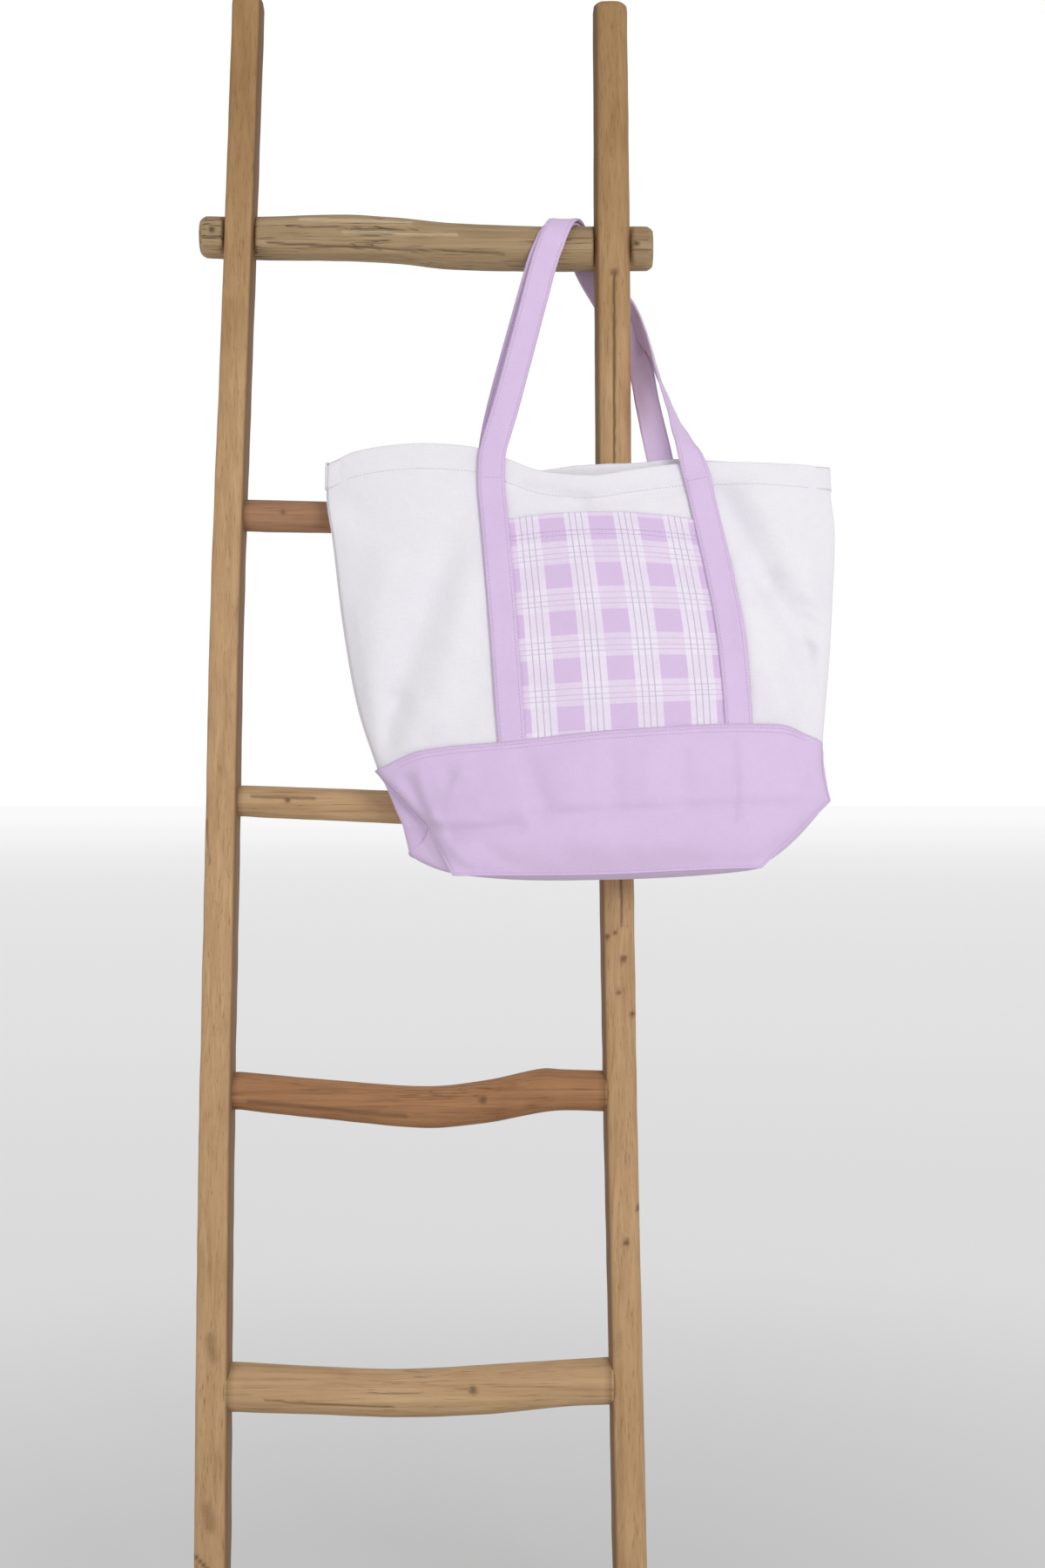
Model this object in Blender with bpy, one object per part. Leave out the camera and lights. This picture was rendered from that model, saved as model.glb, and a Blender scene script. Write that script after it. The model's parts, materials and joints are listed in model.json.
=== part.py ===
"""Canvas tote bag hung by its two handles on a rustic branch ladder.

Units are metres, +Z is up and the front faces -Y. Depth is given as "reach": the distance in
front of the rails' front plane, which leans back with the ladder.
"""
import math

import bmesh
import bpy
from mathutils import Vector

# Overall placing
ORIGIN_X = 0.0103
ORIGIN_Y = -0.0080
LEAN = math.tan(math.radians(5.0))
LEAN_REFERENCE_Z = 0.905
CLEARANCE = 0.0004

# Rails: height along the rail, left edge, right edge
RAIL_DEPTH = 0.040
RAIL_EDGE_RADIUS = 0.007
RAIL_SIDES = 16
LEFT_RAIL_TOP = 1.748
RIGHT_RAIL_TOP = 1.739
LEFT_RAIL_EDGES = (
    (0.0, -0.3296, -0.2957),
    (0.30, -0.3309, -0.2970),
    (0.55, -0.3311, -0.2973),
    (0.83, -0.3283, -0.2954),
    (1.10, -0.3259, -0.2932),
    (1.42, -0.3176, -0.2862),
    (1.748, -0.3106, -0.2786),
)
RIGHT_RAIL_EDGES = (
    (0.0, 0.0930, 0.1275),
    (0.30, 0.0880, 0.1225),
    (0.55, 0.0835, 0.1182),
    (0.80, 0.0800, 0.1155),
    (1.10, 0.0780, 0.1149),
    (1.42, 0.0763, 0.1144),
    (1.739, 0.0755, 0.1124),
)

# Rungs: position across, centre height, radius
RUNG_SIDES = 16
RUNG_REACH = -0.022
TENON_RADIUS = 0.010
TENON_LENGTH = 0.020
SHOULDER_GAP = 0.0009
RUNG_2 = ((-0.29, 1.188, 0.0168), (-0.20, 1.186, 0.0168), (-0.05, 1.184, 0.0172), (0.08, 1.188, 0.0165))
RUNG_3 = ((-0.29, 0.8873, 0.0160), (-0.21, 0.884, 0.0168), (-0.10, 0.880, 0.0172), (0.08, 0.882, 0.0165))
RUNG_4 = (
    (-0.29, 0.5889, 0.0189),
    (-0.20, 0.5800, 0.0200),
    (-0.10, 0.5724, 0.0210),
    (-0.036, 0.5781, 0.0216),
    (0.020, 0.5893, 0.0222),
    (0.042, 0.5900, 0.0208),
    (0.085, 0.5889, 0.0207),
)
RUNG_5 = (
    (-0.29, 0.2910, 0.0239),
    (-0.20, 0.2873, 0.0232),
    (-0.13, 0.2849, 0.0232),
    (-0.036, 0.2884, 0.0239),
    (0.044, 0.2950, 0.0226),
    (0.09, 0.2973, 0.0231),
)
TOP_RUNG = (
    (-0.3434, 1.4894, 0.0223),
    (-0.2805, 1.4880, 0.0230),
    (-0.1926, 1.4885, 0.0246),
    (-0.1331, 1.4852, 0.0247),
    (-0.0782, 1.4793, 0.0247),
    (0.0140, 1.4762, 0.0240),
    (0.0800, 1.4765, 0.0240),
    (0.1387, 1.4761, 0.0235),
)
TOP_RUNG_REACH = -0.026
LAP_REACH = -0.016

# Bag panels: fraction of the drop from rim to base seam against side position
CLOTH = 0.0025
LEFT_SIDE = ((0.0, -0.2063), (0.13, -0.2058), (0.25, -0.1996), (0.54, -0.1873), (0.80, -0.1713), (1.0, -0.1500))
RIGHT_SIDE = ((0.0, 0.3185), (0.10, 0.3195), (0.24, 0.3229), (0.45, 0.3197), (0.67, 0.3151), (1.0, 0.3055))
FRONT_RIM_Z = (
    (0.0, 1.2389),
    (0.06, 1.2475),
    (0.15, 1.2520),
    (0.31, 1.2470),
    (0.42, 1.2272),
    (0.54, 1.2174),
    (0.65, 1.2240),
    (0.74, 1.2370),
    (0.87, 1.2355),
    (1.0, 1.2334),
)
BACK_RIM_Z = ((0.0, 1.2389), (0.15, 1.2430), (0.31, 1.2460), (0.54, 1.2385), (0.70, 1.2444), (1.0, 1.2334))
SEAM_Z = ((0.0, 0.9174), (0.10, 0.9380), (0.30, 0.9480), (0.55, 0.9600), (0.90, 0.9646), (1.0, 0.9466))
RIM_BULGE = (
    (0.0, 0.0),
    (0.15, 0.009),
    (0.31, 0.007),
    (0.53, 0.014),
    (0.73, 0.007),
    (0.87, 0.009),
    (1.0, 0.0),
)
SEAM_BULGE = 0.038
SIDE_REACH_RIM = 0.014
SIDE_REACH_SEAM = 0.034
BACK_INNER_REACH = 0.0068
PANEL_COLUMNS = 30
PANEL_ROWS = 9
SEWN_GAP = 0.0012

# Base wrap levels: height, left, right, side reach, front bulge, back bulge
BASE_SKIN = 0.003
BASE_LEVELS = (
    (0.905, -0.1430, 0.3070, 0.038, 0.046, 0.033),
    (0.885, -0.1340, 0.3110, 0.042, 0.050, 0.037),
    (0.850, -0.1216, 0.2720, 0.045, 0.048, 0.038),
    (0.825, -0.1050, 0.2450, 0.048, 0.038, 0.036),
    (0.811, -0.0780, 0.2220, 0.050, 0.024, 0.028),
)
BASE_COLUMNS = 14

# Straps and handles
STRAP_WIDTH = 0.0285
HANDLE_WIDTH = 0.0300
HINGE_Z = 1.2490
HINGE_GAP = 0.0006
FRONT_LEFT_STRAP = ((0.9515, -0.0109), (1.10, -0.0220), (HINGE_Z, -0.0335))
FRONT_RIGHT_STRAP = ((0.9660, 0.2172), (1.003, 0.2155), (1.069, 0.2094), (1.136, 0.1983), (HINGE_Z, 0.1750))
BACK_LEFT_STRAP = ((0.9540, -0.0100), (1.10, -0.0180), (HINGE_Z, -0.0300))
BACK_RIGHT_STRAP = ((0.9660, 0.1850), (1.10, 0.1700), (HINGE_Z, 0.1550))
STRAP_ROWS = 12
POCKET_CLOTH = 0.002
POCKET_TOP_Z = 1.1766
POCKET_TOP_DROP = 0.008
POCKET_LEFT_BOTTOM_Z = 0.9525
POCKET_RIGHT_BOTTOM_Z = 0.9660
POCKET_COLUMNS = 12
POCKET_ROWS = 9


def place(x, reach, z):
    """Point from position across, reach in front of the rails and height."""
    return Vector((x + ORIGIN_X, LEAN * (z - LEAN_REFERENCE_Z) - reach + ORIGIN_Y, z))


def smooth(knots, t):
    """Smooth value of a profile at t, flat outside its ends."""
    if t <= knots[0][0]:
        return knots[0][1]
    if t >= knots[-1][0]:
        return knots[-1][1]
    last = len(knots) - 1
    i = max(k for k in range(last) if knots[k][0] <= t)
    before, low, high, after = (knots[max(0, min(last, k))] for k in (i - 1, i, i + 1, i + 2))
    span = high[0] - low[0]
    f = (t - low[0]) / span
    rise_low = (high[1] - before[1]) / (high[0] - before[0]) * span
    rise_high = (after[1] - low[1]) / (after[0] - low[0]) * span
    return (
        low[1] * (2 * f**3 - 3 * f**2 + 1)
        + rise_low * (f**3 - 2 * f**2 + f)
        + high[1] * (3 * f**2 - 2 * f**3)
        + rise_high * (f**3 - f**2)
    )


def column(knots, index):
    """Profile of one column of a table against its first column."""
    return [(knot[0], knot[index]) for knot in knots]


def clear_scene():
    """Remove every object of the starting scene."""
    for obj in list(bpy.data.objects):
        bpy.data.objects.remove(obj, do_unlink=True)


def make_material(name, colour, roughness):
    """Principled material with one colour."""
    material = bpy.data.materials.new(name)
    material.use_nodes = True
    shader = material.node_tree.nodes["Principled BSDF"]
    shader.inputs["Base Color"].default_value = (*colour, 1.0)
    shader.inputs["Roughness"].default_value = roughness
    material.diffuse_color = (*colour, 1.0)
    return material


def add_object(name, bm, material, origin=None):
    """Link a mesh as one named object with outward normals and its origin at a given point."""
    bmesh.ops.recalc_face_normals(bm, faces=bm.faces)
    if origin is not None:
        bmesh.ops.translate(bm, verts=bm.verts, vec=-origin)
    mesh = bpy.data.meshes.new(name)
    bm.to_mesh(mesh)
    bm.free()
    obj = bpy.data.objects.new(name, mesh)
    if origin is not None:
        obj.location = origin
    if material is not None:
        obj.data.materials.append(material)
    bpy.context.scene.collection.objects.link(obj)
    return obj


def join_rings(bm, first, second):
    """Quads between two rings of the same count."""
    count = len(first)
    for k in range(count):
        bm.faces.new((first[k], first[(k + 1) % count], second[(k + 1) % count], second[k]))


def loft(rings):
    """Closed solid through rings of points, capped at both ends."""
    bm = bmesh.new()
    add_loft(bm, rings)
    return bm


def add_loft(bm, rings):
    """Add one closed loft to an existing mesh."""
    loops = [[bm.verts.new(point) for point in ring] for ring in rings]
    for first, second in zip(loops, loops[1:]):
        join_rings(bm, first, second)
    bm.faces.new(reversed(loops[0]))
    bm.faces.new(loops[-1])


def slab(rows, columns, near, far):
    """Closed sheet between two surfaces given on the same grid."""
    bm = bmesh.new()
    sides = []
    for surface in (near, far):
        grid = [[bm.verts.new(surface(i / columns, j / rows)) for i in range(columns + 1)] for j in range(rows + 1)]
        for j in range(rows):
            for i in range(columns):
                bm.faces.new((grid[j][i], grid[j][i + 1], grid[j + 1][i + 1], grid[j + 1][i]))
        rim = [grid[0][i] for i in range(columns + 1)]
        rim += [grid[j][columns] for j in range(1, rows + 1)]
        rim += [grid[rows][i] for i in range(columns - 1, -1, -1)]
        rim += [grid[j][0] for j in range(rows - 1, 0, -1)]
        sides.append(rim)
    join_rings(bm, sides[0], sides[1])
    return bm


def circle(x, reach, z, radius, sides):
    """Ring around a rung, in the plane across it."""
    turn = 2.0 * math.pi / sides
    return [
        place(x, reach + radius * math.cos(k * turn), z + radius * math.sin(k * turn)) for k in range(sides)
    ]


def rounded_section(left, right, z):
    """Rail section with rounded edges and a flat back."""
    middle = (left + right) / 2
    corners = (
        (right - RAIL_EDGE_RADIUS, -RAIL_EDGE_RADIUS, 0.0),
        (left + RAIL_EDGE_RADIUS, -RAIL_EDGE_RADIUS, 90.0),
        (left + RAIL_EDGE_RADIUS, RAIL_EDGE_RADIUS - RAIL_DEPTH, 180.0),
        (right - RAIL_EDGE_RADIUS, RAIL_EDGE_RADIUS - RAIL_DEPTH, 270.0),
    )
    steps = RAIL_SIDES // 4 - 1
    points = []
    for x, reach, start in corners:
        for k in range(steps + 1):
            angle = math.radians(start + 90.0 * k / steps)
            across = x + RAIL_EDGE_RADIUS * math.cos(angle)
            points.append(place(min(max(across, left), right), reach + RAIL_EDGE_RADIUS * math.sin(angle), z))
    assert left < middle < right
    return points


def rail_face(edges, z):
    """Left and right edge of a rail at a height."""
    return smooth(column(edges, 1), z), smooth(column(edges, 2), z)


def rung_row(knots, x):
    """Centre height and radius of a rung at a position across."""
    return smooth(column(knots, 1), x), smooth(column(knots, 2), x)


def tenon_cutters(bm, inward, rail_edge):
    """Blind round mortises of the four lower rungs in one rail."""
    for knots in (RUNG_2, RUNG_3, RUNG_4, RUNG_5):
        z = knots[0][1] if inward > 0 else knots[-1][1]
        mouth = rail_edge(z)
        x_out = mouth + inward * 0.004
        x_in = mouth - inward * (TENON_LENGTH + 2 * CLEARANCE)
        rings = [circle(x, RUNG_REACH, z, TENON_RADIUS + CLEARANCE, RUNG_SIDES) for x in (x_in, x_out)]
        add_loft(bm, rings)


def lap_ring(x, grow, front_limit):
    """Top rung ring flattened at its front to a given reach."""
    z, radius = rung_row(TOP_RUNG, x)
    turn = 2.0 * math.pi / RUNG_SIDES
    points = []
    for k in range(RUNG_SIDES):
        reach = TOP_RUNG_REACH + (radius + grow) * math.cos(k * turn)
        points.append(place(x, min(reach, front_limit), z + (radius + grow) * math.sin(k * turn)))
    return points


def build_rail(name, edges, top, inward, material):
    """One rail with the mortises of four rungs and the notch of the top rung."""
    stations = [top * k / 20 for k in range(20)] + [top - 0.003, top]
    rings = []
    for z in stations:
        left, right = rail_face(edges, z)
        inset = 0.002 if z == top else 0.0
        rings.append(rounded_section(left + inset, right - inset, z))
    rail = add_object(name, loft(rings), material)
    cutter_mesh = bmesh.new()
    side = 2 if inward > 0 else 1
    tenon_cutters(cutter_mesh, inward, lambda z: smooth(column(edges, side), z))
    crossing = smooth(column(edges, 1), TOP_RUNG[0][1]) - 0.02
    notch = [lap_ring(crossing + 0.078 * k / 4, CLEARANCE, LAP_REACH) for k in range(5)]
    add_loft(cutter_mesh, notch)
    cutter = add_object(name + "_cutter", cutter_mesh, None)
    cut(rail, cutter)
    return rail


def cut(obj, cutter):
    """Subtract a cutter for good and remove it."""
    modifier = obj.modifiers.new("cut", "BOOLEAN")
    modifier.operation = "DIFFERENCE"
    modifier.solver = "EXACT"
    modifier.object = cutter
    bpy.context.view_layer.update()
    graph = bpy.context.evaluated_depsgraph_get()
    mesh = bpy.data.meshes.new_from_object(obj.evaluated_get(graph))
    obj.modifiers.clear()
    obj.data = mesh
    bpy.data.objects.remove(cutter, do_unlink=True)


def build_rung(name, knots, material):
    """Round branch with a turned tenon at each end."""
    left = smooth(column(LEFT_RAIL_EDGES, 2), knots[0][1]) + SHOULDER_GAP
    right = smooth(column(RIGHT_RAIL_EDGES, 1), knots[-1][1]) - SHOULDER_GAP
    z_left, r_left = knots[0][1], knots[0][2]
    z_right, r_right = knots[-1][1], knots[-1][2]
    rings = [circle(left - TENON_LENGTH, RUNG_REACH, z_left, TENON_RADIUS, RUNG_SIDES)]
    rings.append(circle(left, RUNG_REACH, z_left, TENON_RADIUS, RUNG_SIDES))
    rings.append(circle(left, RUNG_REACH, z_left, r_left, RUNG_SIDES))
    for k in range(1, 14):
        x = left + (right - left) * k / 14
        z, radius = rung_row(knots, x)
        rings.append(circle(x, RUNG_REACH, z, radius, RUNG_SIDES))
    rings.append(circle(right, RUNG_REACH, z_right, r_right, RUNG_SIDES))
    rings.append(circle(right, RUNG_REACH, z_right, TENON_RADIUS, RUNG_SIDES))
    rings.append(circle(right + TENON_LENGTH, RUNG_REACH, z_right, TENON_RADIUS, RUNG_SIDES))
    return add_object(name, loft(rings), material)


def build_top_rung(material):
    """Branch let into the backs of both rails, with a flat seat at each crossing."""
    start, end = TOP_RUNG[0][0], TOP_RUNG[-1][0]
    flat = LAP_REACH - CLEARANCE
    rings = [lap_ring(start, -0.003, 1.0), lap_ring(start + 0.003, 0.0, 1.0)]
    marks = []
    for edges in (LEFT_RAIL_EDGES, RIGHT_RAIL_EDGES):
        left, right = rail_face(edges, 1.48)
        marks.append((left - 0.002, right + 0.002))
    for left, right in marks:
        rings.append(lap_ring(left, 0.0, 1.0))
        rings.append(lap_ring(left + 0.0002, 0.0, flat))
        rings.append(lap_ring(right - 0.0002, 0.0, flat))
        rings.append(lap_ring(right, 0.0, 1.0))
        if right < 0.0:
            gap_end = marks[1][0]
            for k in range(1, 14):
                rings.append(lap_ring(right + (gap_end - right) * k / 14, 0.0, 1.0))
    rings.append(lap_ring(end - 0.003, 0.0, 1.0))
    rings.append(lap_ring(end, -0.003, 1.0))
    return add_object("top_rung", loft(rings), material)


def lens(q, power):
    """Bulge of a cross-section from side seam to side seam."""
    return max(0.0, 1.0 - abs(2.0 * q - 1.0) ** power) ** 0.5


def side_x(q, s):
    """Position across at fraction q of the width and s of the drop."""
    left, right = smooth(LEFT_SIDE, s), smooth(RIGHT_SIDE, s)
    return left + (right - left) * q


def side_reach(s):
    """Reach of the side seams."""
    return SIDE_REACH_RIM + (SIDE_REACH_SEAM - SIDE_REACH_RIM) * s


def front_reach(q, s):
    """Inner face of the front panel."""
    ease = s * s * (3.0 - 2.0 * s)
    bulge = smooth(RIM_BULGE, q) * (1.0 - ease) + SEAM_BULGE * lens(q, 2.0) * ease
    return side_reach(s) + 0.0003 + bulge


def back_reach(q, s):
    """Inner face of the back panel."""
    seam = side_reach(s) - 0.0003
    return seam - (seam - BACK_INNER_REACH) * lens(q, 4.0)


def even_ends(t):
    """Spread of grid lines that is finer towards both ends."""
    return 0.5 - 0.5 * math.cos(math.pi * t)


def panel_point(q, s, rim, reach):
    """Point of a panel surface."""
    z = smooth(rim, q) * (1.0 - s) + smooth(SEAM_Z, q) * s
    return place(side_x(q, s), reach, z)


def build_front_panel(material, origin):
    """White front panel from rim to base seam."""
    def near(t, s):
        q = even_ends(t)
        return panel_point(q, s, FRONT_RIM_Z, front_reach(q, s) + CLOTH)

    def far(t, s):
        q = even_ends(t)
        return panel_point(q, s, FRONT_RIM_Z, front_reach(q, s))

    return add_object("front_panel", slab(PANEL_ROWS, PANEL_COLUMNS, near, far), material, origin)


def build_back_panel(material, origin):
    """White back panel from rim to base seam."""
    def near(t, s):
        q = even_ends(t)
        return panel_point(q, s, BACK_RIM_Z, back_reach(q, s))

    def far(t, s):
        q = even_ends(t)
        return panel_point(q, s, BACK_RIM_Z, back_reach(q, s) - CLOTH)

    return add_object("back_panel", slab(PANEL_ROWS, PANEL_COLUMNS, near, far), material, origin)


def base_loop(level, skin):
    """Closed horizontal outline of the base; skin insets it for the inner face."""
    z_level, left, right, reach, front, back = level
    left += skin
    right -= skin
    points = []
    for side in (1, -1):
        for k in range(BASE_COLUMNS):
            t = k / BASE_COLUMNS
            q = even_ends(t if side > 0 else 1.0 - t)
            bulge = (front if side > 0 else back) - skin
            z = smooth(SEAM_Z, q) - CLEARANCE if z_level is None else z_level
            power = 2.0 if z_level is None and side > 0 else 4.0
            points.append(place(left + (right - left) * q, reach + side * bulge * lens(q, power), z))
    return points


def build_base_wrap(material, origin):
    """Coloured base: front band, bottom and back band with boxed ends, open at the top."""
    seam = (
        None,
        LEFT_SIDE[-1][1],
        RIGHT_SIDE[-1][1],
        SIDE_REACH_SEAM,
        SEAM_BULGE + CLOTH,
        SIDE_REACH_SEAM - BACK_INNER_REACH + CLOTH,
    )
    levels = (seam,) + BASE_LEVELS
    outer = [base_loop(level, 0.0) for level in levels]
    inner = [base_loop(level, BASE_SKIN) for level in levels[:-1]]
    last = levels[-1]
    inner.append(base_loop((last[0] + BASE_SKIN,) + last[1:], BASE_SKIN))
    rings = list(reversed(outer)) + inner
    return add_object("base_wrap", loft(rings), material, origin)


def front_surface(x, z):
    """Reach of the front panel's outer face at a point."""
    q = 0.5
    s = 0.5
    for _ in range(12):
        left, right = smooth(LEFT_SIDE, s), smooth(RIGHT_SIDE, s)
        q = min(max((x - left) / (right - left), 0.0), 1.0)
        top, bottom = smooth(FRONT_RIM_Z, q), smooth(SEAM_Z, q)
        s = min(max((top - z) / (top - bottom), 0.0), 1.0)
    return front_reach(q, s) + CLOTH


def back_surface(x, z):
    """Reach of the back panel's outer face at a point."""
    s = min(max((1.245 - z) / 0.29, 0.0), 1.0)
    left, right = smooth(LEFT_SIDE, s), smooth(RIGHT_SIDE, s)
    q = min(max((x - left) / (right - left), 0.0), 1.0)
    return back_reach(q, s) - CLOTH


def build_sewn_strap(name, line, surface, outward, material, origin):
    """Strap length sewn flat on a panel, from the base seam to the rim."""
    low, high = line[0][0], line[-1][0] - HINGE_GAP

    def face(offset):
        def point(t, s):
            z = high + (low - high) * s
            x = smooth(line, z) + (t - 0.5) * STRAP_WIDTH
            return place(x, surface(x, z) + outward * offset, z)
        return point

    mesh = slab(STRAP_ROWS, 2, face(SEWN_GAP + CLOTH), face(SEWN_GAP))
    return add_object(name, mesh, material, origin)


def build_pocket(material, origin):
    """Patch pocket lying flat on the front panel between the two front straps."""
    def face(offset):
        def point(t, s):
            top = POCKET_TOP_Z - POCKET_TOP_DROP * (2.0 * t - 1.0) ** 2
            bottom = POCKET_LEFT_BOTTOM_Z + (POCKET_RIGHT_BOTTOM_Z - POCKET_LEFT_BOTTOM_Z) * t
            z = top + (bottom - top) * s
            left = smooth(FRONT_LEFT_STRAP, z) + STRAP_WIDTH / 2 + CLEARANCE
            right = smooth(FRONT_RIGHT_STRAP, z) - STRAP_WIDTH / 2 - CLEARANCE
            x = left + (right - left) * t
            return place(x, front_surface(x, z) + offset, z)
        return point

    mesh = slab(POCKET_ROWS, POCKET_COLUMNS, face(SEWN_GAP + POCKET_CLOTH), face(SEWN_GAP))
    return add_object("pocket", mesh, material, origin)


def over_rung(radius, x_front, x_back):
    """Handle stations wrapped over the top rung, from its front to its back."""
    stations = []
    z_centre = rung_row(TOP_RUNG, 0.045)[0]
    for k in range(9):
        angle = math.radians(22.5 * k)
        x = x_front + (x_back - x_front) * k / 8
        reach = TOP_RUNG_REACH + radius * math.cos(angle)
        z = z_centre + radius * math.sin(angle)
        stations.append((x, reach, z, (0.0, -math.cos(angle), math.sin(angle))))
    return stations


def front_handle_path():
    """Centre line and outward direction of the front handle."""
    start = front_surface(-0.0335, 1.24) + SEWN_GAP + CLOTH / 2
    end = front_surface(0.175, 1.235) + SEWN_GAP + CLOTH / 2
    path = [
        (-0.0337, start, HINGE_Z + HINGE_GAP, (0.0, -1.0, 0.0)),
        (-0.0230, start * 0.85 + 0.0004, 1.300, (0.25, -0.97, 0.0)),
        (0.0000, start * 0.45 + 0.0016, 1.385, (0.30, -0.95, 0.0)),
        (0.0190, 0.0048, 1.452, (0.0, -1.0, 0.0)),
    ]
    path += over_rung(0.0308, 0.0285, 0.0650)
    path += [
        (0.0818, -0.0580, 1.454, (0.0, 1.0, 0.0)),
        (0.0988, -0.0590, 1.432, (0.05, 1.0, 0.0)),
        (0.1150, -0.0600, 1.408, (0.30, 0.95, 0.0)),
        (0.1395, -0.0580, 1.368, (0.78, 0.62, 0.0)),
        (0.1545, -0.0440, 1.330, (1.0, 0.05, 0.0)),
        (0.1650, -0.0200, 1.298, (0.80, -0.60, 0.0)),
        (0.1690, -0.0020, 1.272, (0.35, -0.93, 0.0)),
        (0.1748, end, HINGE_Z + HINGE_GAP, (0.0, -1.0, 0.0)),
    ]
    return path


def back_handle_path():
    """Centre line and outward direction of the back handle."""
    edge = BACK_INNER_REACH - CLOTH - SEWN_GAP - CLOTH / 2
    path = [
        (-0.0302, edge, HINGE_Z + HINGE_GAP, (0.0, -1.0, 0.0)),
        (-0.0200, edge, 1.300, (0.10, -1.0, 0.0)),
        (0.0020, edge - 0.0003, 1.385, (0.10, -1.0, 0.0)),
        (0.0185, 0.0010, 1.452, (0.0, -1.0, 0.0)),
    ]
    path += over_rung(0.0259, 0.0270, 0.0630)
    path += [
        (0.0740, -0.0528, 1.452, (0.0, 1.0, 0.0)),
        (0.0900, -0.0532, 1.425, (0.0, 1.0, 0.0)),
        (0.1050, -0.0535, 1.398, (0.0, 1.0, 0.0)),
        (0.1190, -0.0540, 1.368, (0.0, 1.0, 0.0)),
        (0.1265, -0.0545, 1.338, (0.0, 1.0, 0.0)),
        (0.1360, -0.0560, 1.314, (0.0, 1.0, 0.0)),
        (0.1555, -0.0560, 1.290, (0.0, 1.0, 0.2)),
        (0.1575, -0.0300, 1.271, (0.0, 1.0, 0.4)),
        (0.1550, edge, HINGE_Z + HINGE_GAP, (0.0, 1.0, 0.0)),
    ]
    return path


def sample_path(path, per_span):
    """Even smooth samples of a handle path, as points and outward directions."""
    points = [place(x, reach, z) for x, reach, z, _ in path]
    normals = [Vector(normal).normalized() for _, _, _, normal in path]
    last = len(path) - 1
    samples = []
    for i in range(last):
        steps = per_span(i)
        for k in range(steps):
            f = k / steps
            around = [max(0, min(last, j)) for j in (i - 1, i, i + 1, i + 2)]
            a, b, c, d = (points[j] for j in around)
            bend = (2 * a - 5 * b + 4 * c - d) * f**2 + (3 * b - a - 3 * c + d) * f**3
            point = 0.5 * (2 * b + (c - a) * f + bend)
            normal = normals[i].lerp(normals[i + 1], f).normalized()
            samples.append((point, normal))
    samples.append((points[last], normals[last]))
    return samples


def build_handle(name, path, material, origin):
    """Strap loop of constant width and thickness along a path."""
    samples = sample_path(path, lambda i: 1 if 3 <= i < 12 else 3)
    rings = []
    for k, (point, normal) in enumerate(samples):
        ahead = samples[min(k + 1, len(samples) - 1)][0]
        behind = samples[max(k - 1, 0)][0]
        tangent = (ahead - behind).normalized()
        across = tangent.cross(normal).normalized()
        if k in (0, len(samples) - 1):
            tangent = Vector((0.0, 0.0, math.copysign(1.0, tangent.z)))
            across = Vector((math.copysign(1.0, across.x), 0.0, 0.0))
        face = across.cross(tangent).normalized()
        half, skin = across * HANDLE_WIDTH / 2, face * CLOTH / 2
        rings.append([point - half - skin, point + half - skin, point + half + skin, point - half + skin])
    return add_object(name, loft(rings), material, origin)


def main():
    """Build the ladder, the bag and the handles."""
    clear_scene()
    rail_wood = make_material("rail_wood", (0.40, 0.26, 0.13), 0.6)
    top_wood = make_material("top_rung_wood", (0.36, 0.26, 0.15), 0.7)
    dark_wood = make_material("dark_rung_wood", (0.18, 0.075, 0.035), 0.6)
    pale_wood = make_material("pale_rung_wood", (0.42, 0.28, 0.14), 0.65)
    red_wood = make_material("red_rung_wood", (0.30, 0.12, 0.05), 0.6)
    canvas = make_material("white_canvas", (0.80, 0.79, 0.84), 0.9)
    lilac = make_material("lilac_canvas", (0.71, 0.55, 0.79), 0.85)
    plaid = make_material("plaid_canvas", (0.78, 0.68, 0.84), 0.85)

    build_rail("left_rail", LEFT_RAIL_EDGES, LEFT_RAIL_TOP, 1, rail_wood)
    build_rail("right_rail", RIGHT_RAIL_EDGES, RIGHT_RAIL_TOP, -1, rail_wood)
    build_top_rung(top_wood)
    build_rung("rung_2", RUNG_2, dark_wood)
    build_rung("rung_3", RUNG_3, pale_wood)
    build_rung("rung_4", RUNG_4, red_wood)
    build_rung("rung_5", RUNG_5, pale_wood)

    rim = place(0.0, front_surface(-0.0335, 1.24) + SEWN_GAP + CLOTH / 2, HINGE_Z)
    build_front_panel(canvas, rim)
    build_back_panel(canvas, rim)
    build_base_wrap(lilac, rim)
    build_pocket(plaid, rim)
    build_sewn_strap("front_left_strap", FRONT_LEFT_STRAP, front_surface, 1, lilac, rim)
    build_sewn_strap("front_right_strap", FRONT_RIGHT_STRAP, front_surface, 1, lilac, rim)
    build_sewn_strap("back_left_strap", BACK_LEFT_STRAP, back_surface, -1, lilac, rim)
    build_sewn_strap("back_right_strap", BACK_RIGHT_STRAP, back_surface, -1, lilac, rim)
    build_handle("front_handle", front_handle_path(), lilac, rim)
    build_handle("back_handle", back_handle_path(), lilac, rim)


main()
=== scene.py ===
"""Canvas tote bag hung by its handles on a rustic branch ladder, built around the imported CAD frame.

Places are given as across (metres from the middle of the view), reach (metres in front of the
rails' front plane, which leans back with the ladder) and height.
"""
from __future__ import annotations

import json
import logging
import math
from collections.abc import Callable, Iterable, Sequence
from dataclasses import dataclass, field
from enum import Enum

import bmesh
import bpy
from mathutils import Matrix, Vector, noise


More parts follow.
